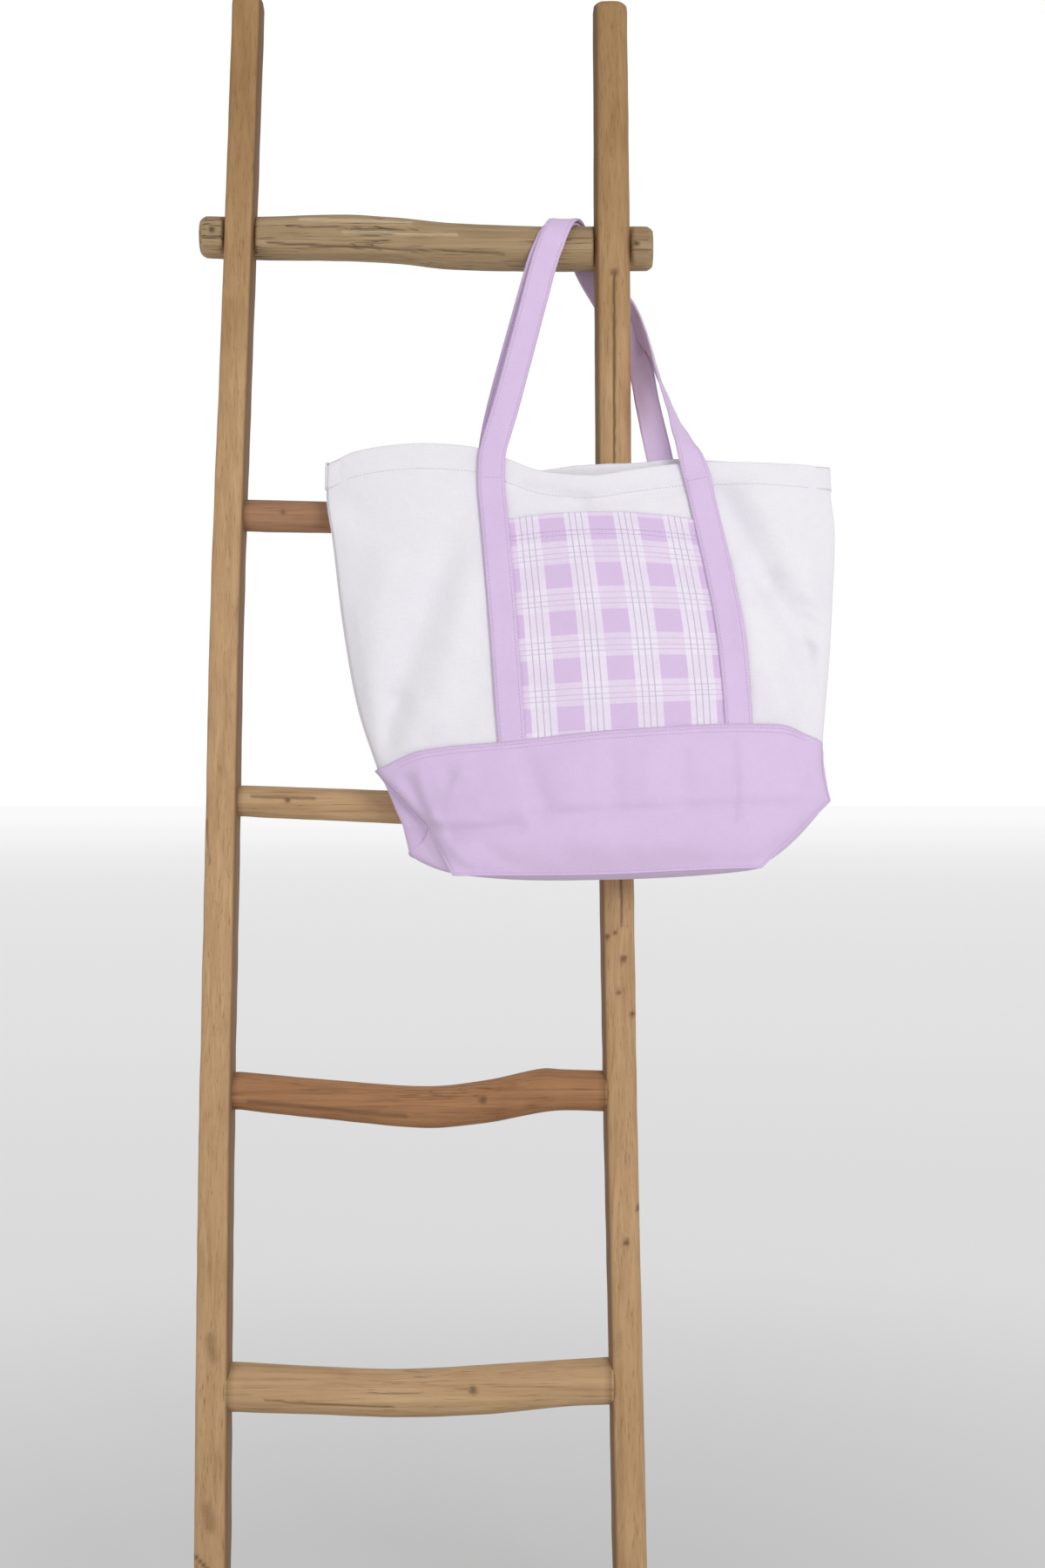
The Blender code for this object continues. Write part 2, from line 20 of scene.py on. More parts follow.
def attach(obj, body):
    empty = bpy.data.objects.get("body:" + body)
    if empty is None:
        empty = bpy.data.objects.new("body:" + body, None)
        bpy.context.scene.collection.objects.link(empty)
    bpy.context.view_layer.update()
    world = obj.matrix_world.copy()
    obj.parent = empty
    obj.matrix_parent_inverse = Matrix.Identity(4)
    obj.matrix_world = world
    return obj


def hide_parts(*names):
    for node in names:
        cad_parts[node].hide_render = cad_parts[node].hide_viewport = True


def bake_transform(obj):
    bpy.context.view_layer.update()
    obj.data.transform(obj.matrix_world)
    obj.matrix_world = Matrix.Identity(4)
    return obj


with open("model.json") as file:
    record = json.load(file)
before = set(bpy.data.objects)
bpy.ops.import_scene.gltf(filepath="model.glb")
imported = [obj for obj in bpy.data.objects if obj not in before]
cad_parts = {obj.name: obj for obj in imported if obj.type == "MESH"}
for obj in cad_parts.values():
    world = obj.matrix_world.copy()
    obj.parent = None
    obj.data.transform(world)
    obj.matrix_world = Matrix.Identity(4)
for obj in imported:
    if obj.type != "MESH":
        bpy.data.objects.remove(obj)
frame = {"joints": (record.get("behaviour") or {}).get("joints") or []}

LOG = logging.getLogger("tote_on_ladder")
MM = 0.001
HINGE_Z = 1.2490
TOP_RUNG_Z = 1.4763
TOP_RUNG_REACH = -0.026
STRAP_STAND = 1.5 * MM
STRAP_THICKNESS = 2.3 * MM
BLACK = (0.0, 0.0, 0.0, 1.0)
WHITE = (1.0, 1.0, 1.0, 1.0)
Colour = tuple[float, float, float, float]
Knots = tuple[tuple[float, float], ...]
Place = tuple[float, float, float]
Band = Callable[[float, float], Place]
Surface = Callable[[float, float], Vector]


# ---------------------------------------------------------------- shapes in numbers


def clamp(value: float, low: float = 0.0, high: float = 1.0) -> float:
    """Value kept between two limits."""
    return min(max(value, low), high)


def ease(value: float, low: float = 0.0, high: float = 1.0) -> float:
    """Smooth rise from 0 at low to 1 at high.

    Args:
        value: Where the rise is read.
        low: Where it starts.
        high: Where it ends.

    Returns:
        The height of the rise, from 0 to 1.
    """
    t = clamp((value - low) / (high - low))
    return t * t * (3.0 - 2.0 * t)


def mix(first: float, second: float, share: float) -> float:
    """Value a share of the way from first to second."""
    return first + (second - first) * share


def lens(q: float, power: float = 2.0) -> float:
    """Bulge of a cross-section from 0 at one side, through 1, to 0 at the other."""
    return max(0.0, 1.0 - abs(2.0 * q - 1.0) ** power) ** 0.5


def ripple(x: float, y: float, z: float, size: float, seed: float = 0.0) -> float:
    """Smooth repeatable noise.

    Args:
        x: Place across.
        y: Place in depth.
        z: Height.
        size: Size of one swelling in metres.
        seed: Number that picks another pattern.

    Returns:
        A value from about -1 to 1.
    """
    return noise.noise(Vector((x / size + seed, y / size - seed, z / size + 2.7 * seed)))


@dataclass(frozen=True)
class Profile:
    """Smooth curve through knots, flat outside its ends."""

    knots: Knots

    def at(self, t: float) -> float:
        """Read the curve.

        Args:
            t: Position along the curve.

        Returns:
            The curve's value there.
        """
        knots = self.knots
        if t <= knots[0][0]:
            return knots[0][1]
        if t >= knots[-1][0]:
            return knots[-1][1]
        last = len(knots) - 1
        i = 0
        while knots[i + 1][0] < t:
            i += 1
        before, low, high, after = (knots[clamp_index(k, last)] for k in (i - 1, i, i + 1, i + 2))
        span = high[0] - low[0]
        f = (t - low[0]) / span
        rise_low = (high[1] - before[1]) / (high[0] - before[0]) * span
        rise_high = (after[1] - low[1]) / (after[0] - low[0]) * span
        cubes, squares = f * f * f, f * f
        return (
            low[1] * (2 * cubes - 3 * squares + 1)
            + rise_low * (cubes - 2 * squares + f)
            + high[1] * (3 * squares - 2 * cubes)
            + rise_high * (cubes - squares)
        )


def clamp_index(index: int, last: int) -> int:
    """Index kept inside a list."""
    return min(max(index, 0), last)


@dataclass(frozen=True)
class LeaningPlane:
    """Turns across, reach and height into a point of the row frame."""

    lean: float
    middle_x: float = 0.0103
    middle_y: float = -0.0080
    level_z: float = 0.905

    def point(self, x: float, reach: float, z: float) -> Vector:
        """Point of the row frame.

        Args:
            x: Place across.
            reach: Distance in front of the rails.
            z: Height.

        Returns:
            The point in metres.
        """
        return Vector((x + self.middle_x, self.back_y(z) - reach, z))

    def back_y(self, z: float) -> float:
        """Depth of the rails' front plane at a height."""
        return self.lean * (z - self.level_z) + self.middle_y


def off_line(
    start: tuple[float, float], end: tuple[float, float], x: float, z: float
) -> tuple[float, float]:
    """Gap from a place to the nearest point of a straight line.

    Args:
        start: Start of the line, across and up.
        end: End of the line, which may be its start again.
        x: Place across.
        z: Height.

    Returns:
        The gap across and the gap up.
    """
    run_x, run_z = end[0] - start[0], end[1] - start[1]
    off_x, off_z = x - start[0], z - start[1]
    square = run_x**2 + run_z**2
    along = clamp((off_x * run_x + off_z * run_z) / square) if square else 0.0
    return off_x - along * run_x, off_z - along * run_z


@dataclass(frozen=True)
class Fold:
    """Soft ridge (height above 0) or valley in cloth, between two places across and up."""

    start: tuple[float, float]
    end: tuple[float, float]
    width: float
    height: float

    def relief(self, x: float, z: float) -> float:
        """Height that the fold adds at a place.

        Args:
            x: Place across.
            z: Height.

        Returns:
            Metres outwards.
        """
        gap_x, gap_z = off_line(self.start, self.end, x, z)
        return self.height * math.exp(-(gap_x**2 + gap_z**2) / self.width**2)


def relief(folds: Iterable[Fold], x: float, z: float) -> float:
    """Sum of several folds at one place."""
    return sum(fold.relief(x, z) for fold in folds)


# ---------------------------------------------------------------- meshes


def sheet_mesh(columns: int, rows: int, size: tuple[float, float], surface: Surface) -> bmesh.types.BMesh:
    """Grid laid onto a surface, with a UV map in metres.

    Args:
        columns: Faces from left to right.
        rows: Faces from top to bottom.
        size: Flat width and length that the UV map spans.
        surface: Gives the point at (t, s): t from left to right, s from top to bottom.

    Returns:
        The open sheet, facing forwards.
    """
    bm = bmesh.new()
    bmesh.ops.create_grid(bm, x_segments=columns, y_segments=rows, size=0.5)
    layer = bm.loops.layers.uv.new("UVMap")
    for face in bm.faces:
        for loop in face.loops:
            co = loop.vert.co
            loop[layer].uv = ((co.x + 0.5) * size[0], (co.y + 0.5) * size[1])
    for vert in bm.verts:
        vert.co = surface(vert.co.x + 0.5, 0.5 - vert.co.y)
    return bm


def piping_mesh(line: Sequence[Vector], radius: float, sides: int = 6) -> bmesh.types.BMesh:
    """Thin closed ridge along a line, such as a seam turned to the outside.

    Args:
        line: Points of its middle, close together.
        radius: Half its thickness.
        sides: Faces around it.

    Returns:
        The ridge.
    """
    last = len(line) - 1
    length = sum((b - a).length for a, b in zip(line, line[1:]))

    def surface(t: float, v: float) -> Vector:
        """Point at a share around and a share along."""
        k = round(v * last)
        tangent = (line[min(k + 1, last)] - line[max(k - 1, 0)]).normalized()
        side = tangent.cross(Vector((0.31, 0.93, 0.19))).normalized()
        angle = 2.0 * math.pi * t
        thin = radius * min(1.0, 0.25 + 0.25 * min(k, last - k))
        return line[k] + thin * (side * math.cos(angle) + side.cross(tangent) * math.sin(angle))

    bm = sheet_mesh(sides, last, (2.0 * math.pi * radius, length), surface)
    bmesh.ops.remove_doubles(bm, verts=bm.verts, dist=0.001 * MM)
    rims = [edge for edge in bm.edges if edge.is_boundary]
    bmesh.ops.holes_fill(bm, edges=rims, sides=0)
    bmesh.ops.recalc_face_normals(bm, faces=bm.faces)
    return bm


def rod_mesh(sides: int, rows: int) -> bmesh.types.BMesh:
    """Closed unit rod: its place across is in x and y, and its run from 0 to 1 in z.

    Args:
        sides: Faces around.
        rows: Faces along.

    Returns:
        The rod, with three rings on each end.
    """
    bm = bmesh.new()
    bmesh.ops.create_cone(bm, cap_ends=True, segments=sides, radius1=1.0, radius2=1.0, depth=1.0)
    bmesh.ops.translate(bm, verts=bm.verts, vec=(0.0, 0.0, 0.5))
    runs = [edge for edge in bm.edges if abs(edge.verts[0].co.z - edge.verts[1].co.z) > 0.5]
    bmesh.ops.subdivide_edges(bm, edges=runs, cuts=rows - 1)
    for _ in range(3):
        ends = [face for face in bm.faces if len(face.verts) == sides]
        bmesh.ops.inset_individual(bm, faces=ends, thickness=0.24)
    ends = [face for face in bm.faces if len(face.verts) == sides]
    bmesh.ops.poke(bm, faces=ends)
    return bm


def add_piece(name: str, bm: bmesh.types.BMesh, finish: bpy.types.Material) -> bpy.types.Object:
    """Link a mesh as a smooth-shaded object at the origin.

    Args:
        name: Name of the piece.
        bm: Its mesh, which is freed.
        finish: Its material.

    Returns:
        The new object.
    """
    for face in bm.faces:
        face.smooth = True
    mesh = bpy.data.meshes.new(name)
    bm.to_mesh(mesh)
    bm.free()
    mesh.materials.append(finish)
    piece = bpy.data.objects.new(name, mesh)
    bpy.context.scene.collection.objects.link(piece)
    return piece


def give_thickness(piece: bpy.types.Object, thickness: float) -> bpy.types.Object:
    """Give a sheet its thickness behind its face, for good.

    Args:
        piece: The sheet.
        thickness: Metres of cloth.

    Returns:
        The same object with a closed mesh.
    """
    solidify = piece.modifiers.new("thickness", "SOLIDIFY")
    solidify.thickness = thickness
    solidify.offset = -1.0
    graph = bpy.context.evaluated_depsgraph_get()
    mesh = bpy.data.meshes.new_from_object(piece.evaluated_get(graph))
    piece.modifiers.clear()
    piece.data = mesh
    return piece


# ---------------------------------------------------------------- finishes


def linear(code: str) -> Colour:
    """Linear colour of an sRGB hex code.

    Args:
        code: Six hex digits.

    Returns:
        Red, green, blue and an alpha of 1.
    """
    parts = [int(code[k : k + 2], 16) / 255.0 for k in (0, 2, 4)]
    red, green, blue = (p / 12.92 if p <= 0.04045 else ((p + 0.055) / 1.055) ** 2.4 for p in parts)
    return red, green, blue, 1.0


def grey(value: float) -> Colour:
    """Grey of one linear value."""
    return value, value, value, 1.0


class NodeBench:
    """Adds and links the nodes of one material."""

    def __init__(self, name: str) -> None:
        """Start a material with a Principled shader."""
        self.material = bpy.data.materials.new(name)
        self.material.use_nodes = True
        self.tree = self.material.node_tree
        self.shader = self.tree.nodes["Principled BSDF"]

    def add(self, kind: str, settings: dict | None = None, **inputs: object) -> bpy.types.Node:
        """Add one node with its settings and links.

        Args:
            kind: Type name of the node, without its ShaderNode prefix.
            settings: Properties of the node.
            **inputs: Values or sockets by input name, with _ for a space, or by in0, in1, in2.

        Returns:
            The node.
        """
        node = self.tree.nodes.new("ShaderNode" + kind)
        for key, value in (settings or {}).items():
            setattr(node, key, value)
        for key, value in inputs.items():
            numbered = key[:2] == "in" and key[2:].isdigit()
            self.feed(node.inputs[int(key[2:]) if numbered else key.replace("_", " ")], value)
        return node

    def feed(self, socket: bpy.types.NodeSocket, value: object) -> None:
        """Link or set one input.

        Args:
            socket: The input.
            value: The socket that it is linked to, or the value that it is set to.
        """
        if isinstance(value, bpy.types.NodeSocket):
            self.tree.links.new(value, socket)
        else:
            socket.default_value = value

    def noise(self, where: object, scale: float, detail: float, **values: float) -> bpy.types.NodeSocket:
        """Add a noise pattern at a place and give its value."""
        return self.add("TexNoise", Vector=where, Scale=scale, Detail=detail, **values).outputs["Fac"]

    def ramp(
        self, factor: bpy.types.NodeSocket, stops: Sequence[tuple[float, Colour]]
    ) -> bpy.types.NodeSocket:
        """Look a value up in a colour ramp.

        Args:
            factor: The value.
            stops: Places from 0 to 1 and their linear colours.

        Returns:
            The colour.
        """
        node = self.add("ValToRGB", Fac=factor)
        elements = node.color_ramp.elements
        while len(elements) < len(stops):
            elements.new(0.5)
        for element, (place, colour) in zip(elements, stops):
            element.position = place
            element.color = colour
        return node.outputs["Color"]

    def math(self, operation: str, *values: object) -> bpy.types.NodeSocket:
        """Add arithmetic on sockets or numbers and give its result."""
        inputs = {f"in{k}": value for k, value in enumerate(values)}
        return self.add("Math", {"operation": operation}, **inputs).outputs[0]

    def weighted(self, *terms: tuple[object, object]) -> bpy.types.NodeSocket:
        """Add up values, each times its weight.

        Args:
            *terms: Values with their weights, as sockets or numbers.

        Returns:
            The sum.
        """
        total, *rest = (self.math("MULTIPLY", value, weight) for value, weight in terms)
        for part in rest:
            total = self.math("ADD", total, part)
        return total

    def blend(
        self, share: object, first: object, second: object, way: str = "MIX"
    ) -> bpy.types.NodeSocket:
        """Mix two colours by a share.

        Args:
            share: Socket or number from 0 to 1.
            first: Colour at 0.
            second: Colour at 1.
            way: Blend type of the mix.

        Returns:
            The mixed colour.
        """
        node = self.add("Mix", {"data_type": "RGBA", "blend_type": way})
        for index, value in ((0, share), (6, first), (7, second)):
            self.feed(node.inputs[index], value)
        return node.outputs[2]

    def finish(self, colour: object, height: object, depth: float, **values: object) -> bpy.types.Material:
        """Link colour and relief to the shader and set its other sockets.

        Args:
            colour: Socket of the base colour.
            height: Socket of the relief, from 0 to 1.
            depth: Metres from the relief's lowest to its highest.
            **values: Numbers or sockets for the shader, by input name with _ for a space.

        Returns:
            The material.
        """
        self.tree.links.new(colour, self.shader.inputs["Base Color"])
        bump = self.add("Bump", Strength=1.0, Distance=depth, Height=height)
        self.tree.links.new(bump.outputs[0], self.shader.inputs["Normal"])
        for key, value in values.items():
            self.feed(self.shader.inputs[key.replace("_", " ")], value)
        return self.material


class Grain(Enum):
    """Direction that wood grain runs in."""

    UPRIGHT = "upright"
    ACROSS = "across"


@dataclass(frozen=True)
class BranchWood:
    """Peeled and oiled branch wood: streaked along the grain, with fine drying cracks.

    Old dry wood under oil has a soft sheen, a colour that drifts along each branch, and grain
    lines about 1 to 2 mm apart that can be felt. Towards the ladder's top the colour is
    multiplied by a darker tint: painted shade, darker higher up where less light reaches the wood.
    """

    name: str
    pale: str
    middle: str
    deep: str
    grain: Grain
    crack_and_shade: str = "3d2a1c"
    scuffed: str = "c9b394"
    streak_mm: float = 2.2
    cracks: float = 0.5
    roughness: float = 0.62
    top_tint: str = "ffffff"
    tint_zone: tuple[float, float] = (1.15, 1.65)
    streak_length: float = 38.0
    slant_degrees: float = 5.0

    def make(self) -> bpy.types.Material:
        """Build the material.

        Returns:
            The material, which reads Object coordinates and the attributes "dark" and "pale".
        """
        bench = NodeBench(self.name)
        fine = 1.0 / (self.streak_mm * MM)
        slow = fine / self.streak_length
        upright = self.grain is Grain.UPRIGHT
        stretch = (fine, fine, slow) if upright else (slow, fine, fine)
        turn = (math.radians(self.slant_degrees) if upright else 0.0, 0.0, 0.0)
        where = bench.add("TexCoord").outputs["Object"]
        along = bench.add("Mapping", Vector=where, Scale=stretch, Rotation=turn).outputs[0]
        streaks = bench.noise(along, 1.0, 5.0, Roughness=0.62)
        bands = bench.noise(along, 0.27, 3.0, Roughness=0.55, Distortion=0.6)
        drift = bench.noise(where, 13.0, 3.0)
        specks = bench.noise(where, 420.0, 2.0)
        tone = bench.weighted((bands, 0.55), (streaks, 0.25), (drift, 0.30))
        stops = ((0.30, linear(self.deep)), (0.55, linear(self.middle)), (0.80, linear(self.pale)))
        colour = bench.ramp(tone, stops)
        # Painted shade: through this zone of height the colour is multiplied towards a darker tint, for
        # less light higher up.
        level = bench.add("SeparateXYZ", Vector=where).outputs["Z"]
        low, high = self.tint_zone
        smooth = {"interpolation_type": "SMOOTHSTEP"}
        upper = bench.add("MapRange", smooth, in0=level, in1=low, in2=high, in3=0.0, in4=1.0)
        colour = bench.blend(upper.outputs[0], colour, linear(self.top_tint), "MULTIPLY")
        lines = bench.math("ABSOLUTE", bench.math("SUBTRACT", bands, 0.5))
        gate = bench.ramp(drift, ((0.52, BLACK), (0.62, WHITE)))
        cracks = bench.ramp(lines, ((0.0, WHITE), (0.014, BLACK)))
        cracks = bench.math("MULTIPLY", bench.math("MULTIPLY", cracks, gate), self.cracks)
        colour = bench.blend(cracks, colour, linear(self.crack_and_shade))
        pores = bench.ramp(streaks, ((0.30, WHITE), (0.42, BLACK)))
        colour = bench.blend(bench.math("MULTIPLY", pores, 0.45), colour, linear(self.deep), "MULTIPLY")
        dark = bench.add("Attribute", {"attribute_name": "dark"}).outputs["Fac"]
        pale = bench.add("Attribute", {"attribute_name": "pale"}).outputs["Fac"]
        broken = bench.math("MULTIPLY", pale, bench.ramp(streaks, ((0.40, BLACK), (0.55, WHITE))))
        colour = bench.blend(broken, colour, linear(self.scuffed))
        # dark holds knots, splits, stains and joint lines, and on the rails the painted shade of their
        # inner sides, all in the crack colour.
        colour = bench.blend(dark, colour, linear(self.crack_and_shade))
        height = bench.weighted((streaks, 0.7), (specks, 0.3), (cracks, -0.8))
        rough = bench.math("ADD", self.roughness - 0.12, bench.math("MULTIPLY", streaks, 0.24))
        return bench.finish(colour, height, 0.7 * MM, Roughness=rough, Specular_IOR_Level=0.35, IOR=1.47)


@dataclass(frozen=True)
class Canvas:
    """Dyed cotton canvas in plain weave: matt, a little fuzzy, with thicker slub yarns.

    Real yarns are 0.6 mm apart. They are drawn 1.5 mm apart, because the true weave is too
    fine to show, and a mottle of 4 to 20 mm stands for uneven dye and pressing.
    """

    name: str
    base: str
    shade: str
    yarn_mm: float = 1.5
    depth_mm: float = 0.16
    unevenness: float = 0.28
    bends: float = 90.0
    bend_mm: float = 1.2
    slub_stretches: tuple[Place, Place] = ((90.0, 900.0, 1.0), (900.0, 90.0, 1.0))
    worn: float = 0.965

    def make(self) -> bpy.types.Material:
        """Build the material, which reads the piece's UV map in metres."""
        bench = NodeBench(self.name)
        colour = self.mottled(bench, linear(self.base))
        return self.woven(bench, colour)

    def mottled(self, bench: NodeBench, base: object) -> bpy.types.NodeSocket:
        """Uneven dye over a base colour.

        Args:
            bench: Where the nodes are added.
            base: The even colour, as a socket or a value.

        Returns:
            The uneven colour.
        """
        where = bench.add("TexCoord").outputs["Object"]
        cloudy = bench.noise(where, 26.0, 4.0, Roughness=0.6)
        fuzzy = bench.noise(where, 480.0, 2.0)
        share = bench.ramp(bench.weighted((cloudy, 0.6), (fuzzy, 0.4)), ((0.38, WHITE), (0.66, BLACK)))
        return bench.blend(bench.math("MULTIPLY", share, self.unevenness), base, linear(self.shade))

    def woven(self, bench: NodeBench, colour: object) -> bpy.types.Material:
        """Weave relief under a colour.

        Args:
            bench: Where the nodes are added.
            colour: Socket of the base colour.

        Returns:
            The finished material.
        """
        per_yarn = 1.0 / (self.yarn_mm * MM)
        uv = bench.add("UVMap", {"uv_map": "UVMap"}).outputs[0]
        bent = bench.add("TexNoise", Vector=uv, Scale=self.bends, Detail=2.0).outputs["Color"]
        sway = (self.bend_mm * MM,) * 3
        sum_up = {"operation": "MULTIPLY_ADD"}
        cloth = bench.add("VectorMath", sum_up, in0=bent, in1=sway, in2=uv).outputs[0]
        parts = bench.add("SeparateXYZ", Vector=cloth)
        turns = [bench.math("MULTIPLY", parts.outputs[axis], math.pi * per_yarn) for axis in "XY"]
        warp, weft = (bench.math("ABSOLUTE", bench.math("SINE", turn)) for turn in turns)
        over = bench.add("TexChecker", Vector=cloth, Scale=per_yarn).outputs["Fac"]
        weave = bench.weighted((weft, over), (warp, bench.math("SUBTRACT", 1.0, over)))
        slubs = bench.math("ADD", *(
            bench.noise(bench.add("Mapping", Vector=uv, Scale=stretch).outputs[0], 1.0, 2.0)
            for stretch in self.slub_stretches
        ))
        height = bench.weighted((weave, 0.5), (slubs, 0.6))
        worn = bench.ramp(bench.math("MULTIPLY", slubs, 0.5), ((0.36, grey(self.worn)), (0.62, WHITE)))
        colour = bench.blend(1.0, colour, worn, "MULTIPLY")
        return bench.finish(
            colour, height, self.depth_mm * MM, Roughness=0.92, Specular_IOR_Level=0.18,
            Sheen_Weight=0.25, Sheen_Roughness=0.55, IOR=1.45,
        )


@dataclass(frozen=True)
class PlaidCanvas(Canvas):
    """Printed check on the same canvas: lilac squares, pale bands and three hair lines in each band."""

    square: str = "d9c0e3"
    upright_band: str = "ece3f1"
    level_band: str = "e6d8ec"
    crossing: str = "efe9f4"
    upright_line: str = "b5afbd"
    level_line: str = "cdb4d6"
    pitch_across: float = 0.0495
    pitch_down: float = 0.0488
    square_share: float = 0.52
    first_across: float = -0.0145
    first_down: float = 0.0035
    line_share: float = 0.026
    line_ink: tuple[float, float] = (0.9, 0.7)
    edge_share: float = 0.008
    upright_lines: tuple[float, ...] = (0.22, 0.48, 0.73)
    level_lines: tuple[float, ...] = (0.26, 0.54, 0.75)
    pocket_length: float = 0.2350

    def make(self) -> bpy.types.Material:
        """Build the material, which reads the piece's UV map in metres."""
        bench = NodeBench(self.name)
        parts = bench.add("SeparateXYZ", Vector=bench.add("UVMap", {"uv_map": "UVMap"}).outputs[0])
        down = bench.math("SUBTRACT", self.pocket_length, parts.outputs["Y"])
        across = parts.outputs["X"]
        band_x, line_x = self.axis(bench, across, self.first_across, self.pitch_across, self.upright_lines)
        band_y, line_y = self.axis(bench, down, self.first_down, self.pitch_down, self.level_lines)
        upright = bench.blend(band_x, linear(self.square), linear(self.upright_band))
        level = bench.blend(band_x, linear(self.level_band), linear(self.crossing))
        colour = bench.blend(band_y, upright, level)
        upright_ink, level_ink = self.line_ink
        colour = bench.blend(bench.math("MULTIPLY", line_x, upright_ink), colour, linear(self.upright_line))
        colour = bench.blend(bench.math("MULTIPLY", line_y, level_ink), colour, linear(self.level_line))
        return self.woven(bench, self.mottled(bench, colour))

    def axis(
        self, bench: NodeBench, place: bpy.types.NodeSocket,
        first: float, pitch: float, lines: Sequence[float],
    ) -> tuple[bpy.types.NodeSocket, bpy.types.NodeSocket]:
        """Bands and hair lines of the check in one direction.

        Args:
            bench: Where the nodes are added.
            place: Metres along the direction.
            first: Where a square starts.
            pitch: Metres from square to square.
            lines: Places of the hair lines within a band, from 0 to 1.

        Returns:
            Where the bands are, and where the hair lines are.
        """
        turns = bench.math("DIVIDE", bench.math("SUBTRACT", place, first), pitch)
        share = bench.math("FRACT", turns)
        soft, square = self.edge_share, self.square_share
        edges = ((0.0, WHITE), (soft, BLACK), (square - soft, BLACK), (square, WHITE), (1.0, WHITE))
        band = bench.ramp(share, edges)
        half = self.line_share / 2
        inked = half * 0.4
        stops: list[tuple[float, Colour]] = [(0.0, BLACK)]
        for line in lines:
            middle = square + (1.0 - square) * line
            stops += [(middle - half, BLACK), (middle - inked, WHITE)]
            stops += [(middle + inked, WHITE), (middle + half, BLACK)]
        return band, bench.ramp(share, stops)


@dataclass(frozen=True)
class Thread:
    """Twisted cotton sewing thread: matt, a shade off the cloth it holds."""

    name: str
    colour: str
    hollow: Colour = (0.35, 0.32, 0.38, 1.0)
    twists: float = 900.0

    def make(self) -> bpy.types.Material:
        """Build the material, twisted by a fine wave on Object coordinates."""
        bench = NodeBench(self.name)
        where = bench.add("TexCoord").outputs["Object"]
        slant = {"bands_direction": "DIAGONAL"}
        twist = bench.add("TexWave", slant, Vector=where, Scale=self.twists, Distortion=2.0).outputs["Fac"]
        colour = bench.blend(bench.math("MULTIPLY", twist, 0.25), linear(self.colour), self.hollow)
        return bench.finish(colour, twist, 0.1 * MM, Roughness=0.8, Specular_IOR_Level=0.25)


@dataclass(frozen=True)
class StudioFloor:
    """Studio floor with painted shade and light: grey near the ladder, brightening to white far away, with
    a painted glow that stands in for light.
    """

    near: str = "b9b9b9"
    far: str = "ffffff"
    fade: float = 60.0
    painted_glow: float = 0.56
    body: float = 0.55

    def make(self) -> bpy.types.Material:
        """Build the material, whose painted shade and glow are read by distance from the origin."""
        bench = NodeBench("matt_floor_paint")
        where = bench.add("TexCoord").outputs["Object"]
        away = bench.add("VectorMath", {"operation": "LENGTH"}, in0=where).outputs["Value"]
        share = bench.math("DIVIDE", away, self.fade)
        stops = (
            (0.0, linear(self.near)), (0.03, linear("dddddd")), (0.09, linear("e5e5e5")),
            (0.30, linear("ececec")), (0.55, linear("f8f8f8")), (0.9, linear(self.far)),
        )
        specks = bench.noise(where, 120.0, 2.0)
        # Painted shade and light: the ramp runs from grey near the ladder to white far off.
        painted_falloff = bench.ramp(share, stops)
        # Painted light: the floor's emission makes it glow though it is no lamp.
        painted_glow = bench.blend(1.0, painted_falloff, grey(self.painted_glow), "MULTIPLY")
        body = bench.blend(1.0, painted_falloff, grey(self.body), "MULTIPLY")
        return bench.finish(
            body, specks, 0.05 * MM, Roughness=0.9, Specular_IOR_Level=0.1,
            Emission_Color=painted_glow, Emission_Strength=1.0,
        )


@dataclass
class FinishBox:
    """Every finish of the model by the record's slot name."""

    made: dict[str, bpy.types.Material] = field(default_factory=dict)

    def mix_all(self) -> None:
        """Make each material once."""
        woods = (
            # The rail wood carries painted shade: a darker tint towards the ladder's top and a dark inner
            # side on each rail.
            BranchWood(
                "rail_wood", "c7a47a", "b6926a", "9d7950", Grain.UPRIGHT,
                crack_and_shade="5b3d26", cracks=0.25, streak_mm=1.6, top_tint="dcd6c4",
            ),
            BranchWood("top_rung_wood", "b49b7b", "9f8664", "80684b", Grain.ACROSS, cracks=0.9),
            BranchWood("dark_rung_wood", "b78965", "9e7658", "7b5742", Grain.ACROSS),
            BranchWood("pale_rung_wood", "c9a880", "b8966f", "93704d", Grain.ACROSS, streak_mm=1.8),
            BranchWood("red_rung_wood", "b5855b", "9e714c", "784e34", Grain.ACROSS),
        )
        cloths = (
            Canvas("white_canvas", "ebe8ee", "dedbe4"),
            Canvas("lilac_canvas", "dac2e4", "ccb3d7"),
            PlaidCanvas("plaid_canvas", "d9c0e3", "cfb8da"),
        )
        threads = (Thread("white_thread", "e3dfe8"), Thread("lilac_thread", "d2b9dc"))
        for finish in (*woods, *cloths, *threads):
            self.made[finish.name] = finish.make()

    def __getitem__(self, name: str) -> bpy.types.Material:
        """Material by its name."""
        return self.made[name]


# ---------------------------------------------------------------- ladder


class MarkKind(Enum):
    """What a mark on a branch is."""

    KNOT = "knot"
    SPLIT = "split"
    SCUFF = "scuff"
    STAIN = "stain"


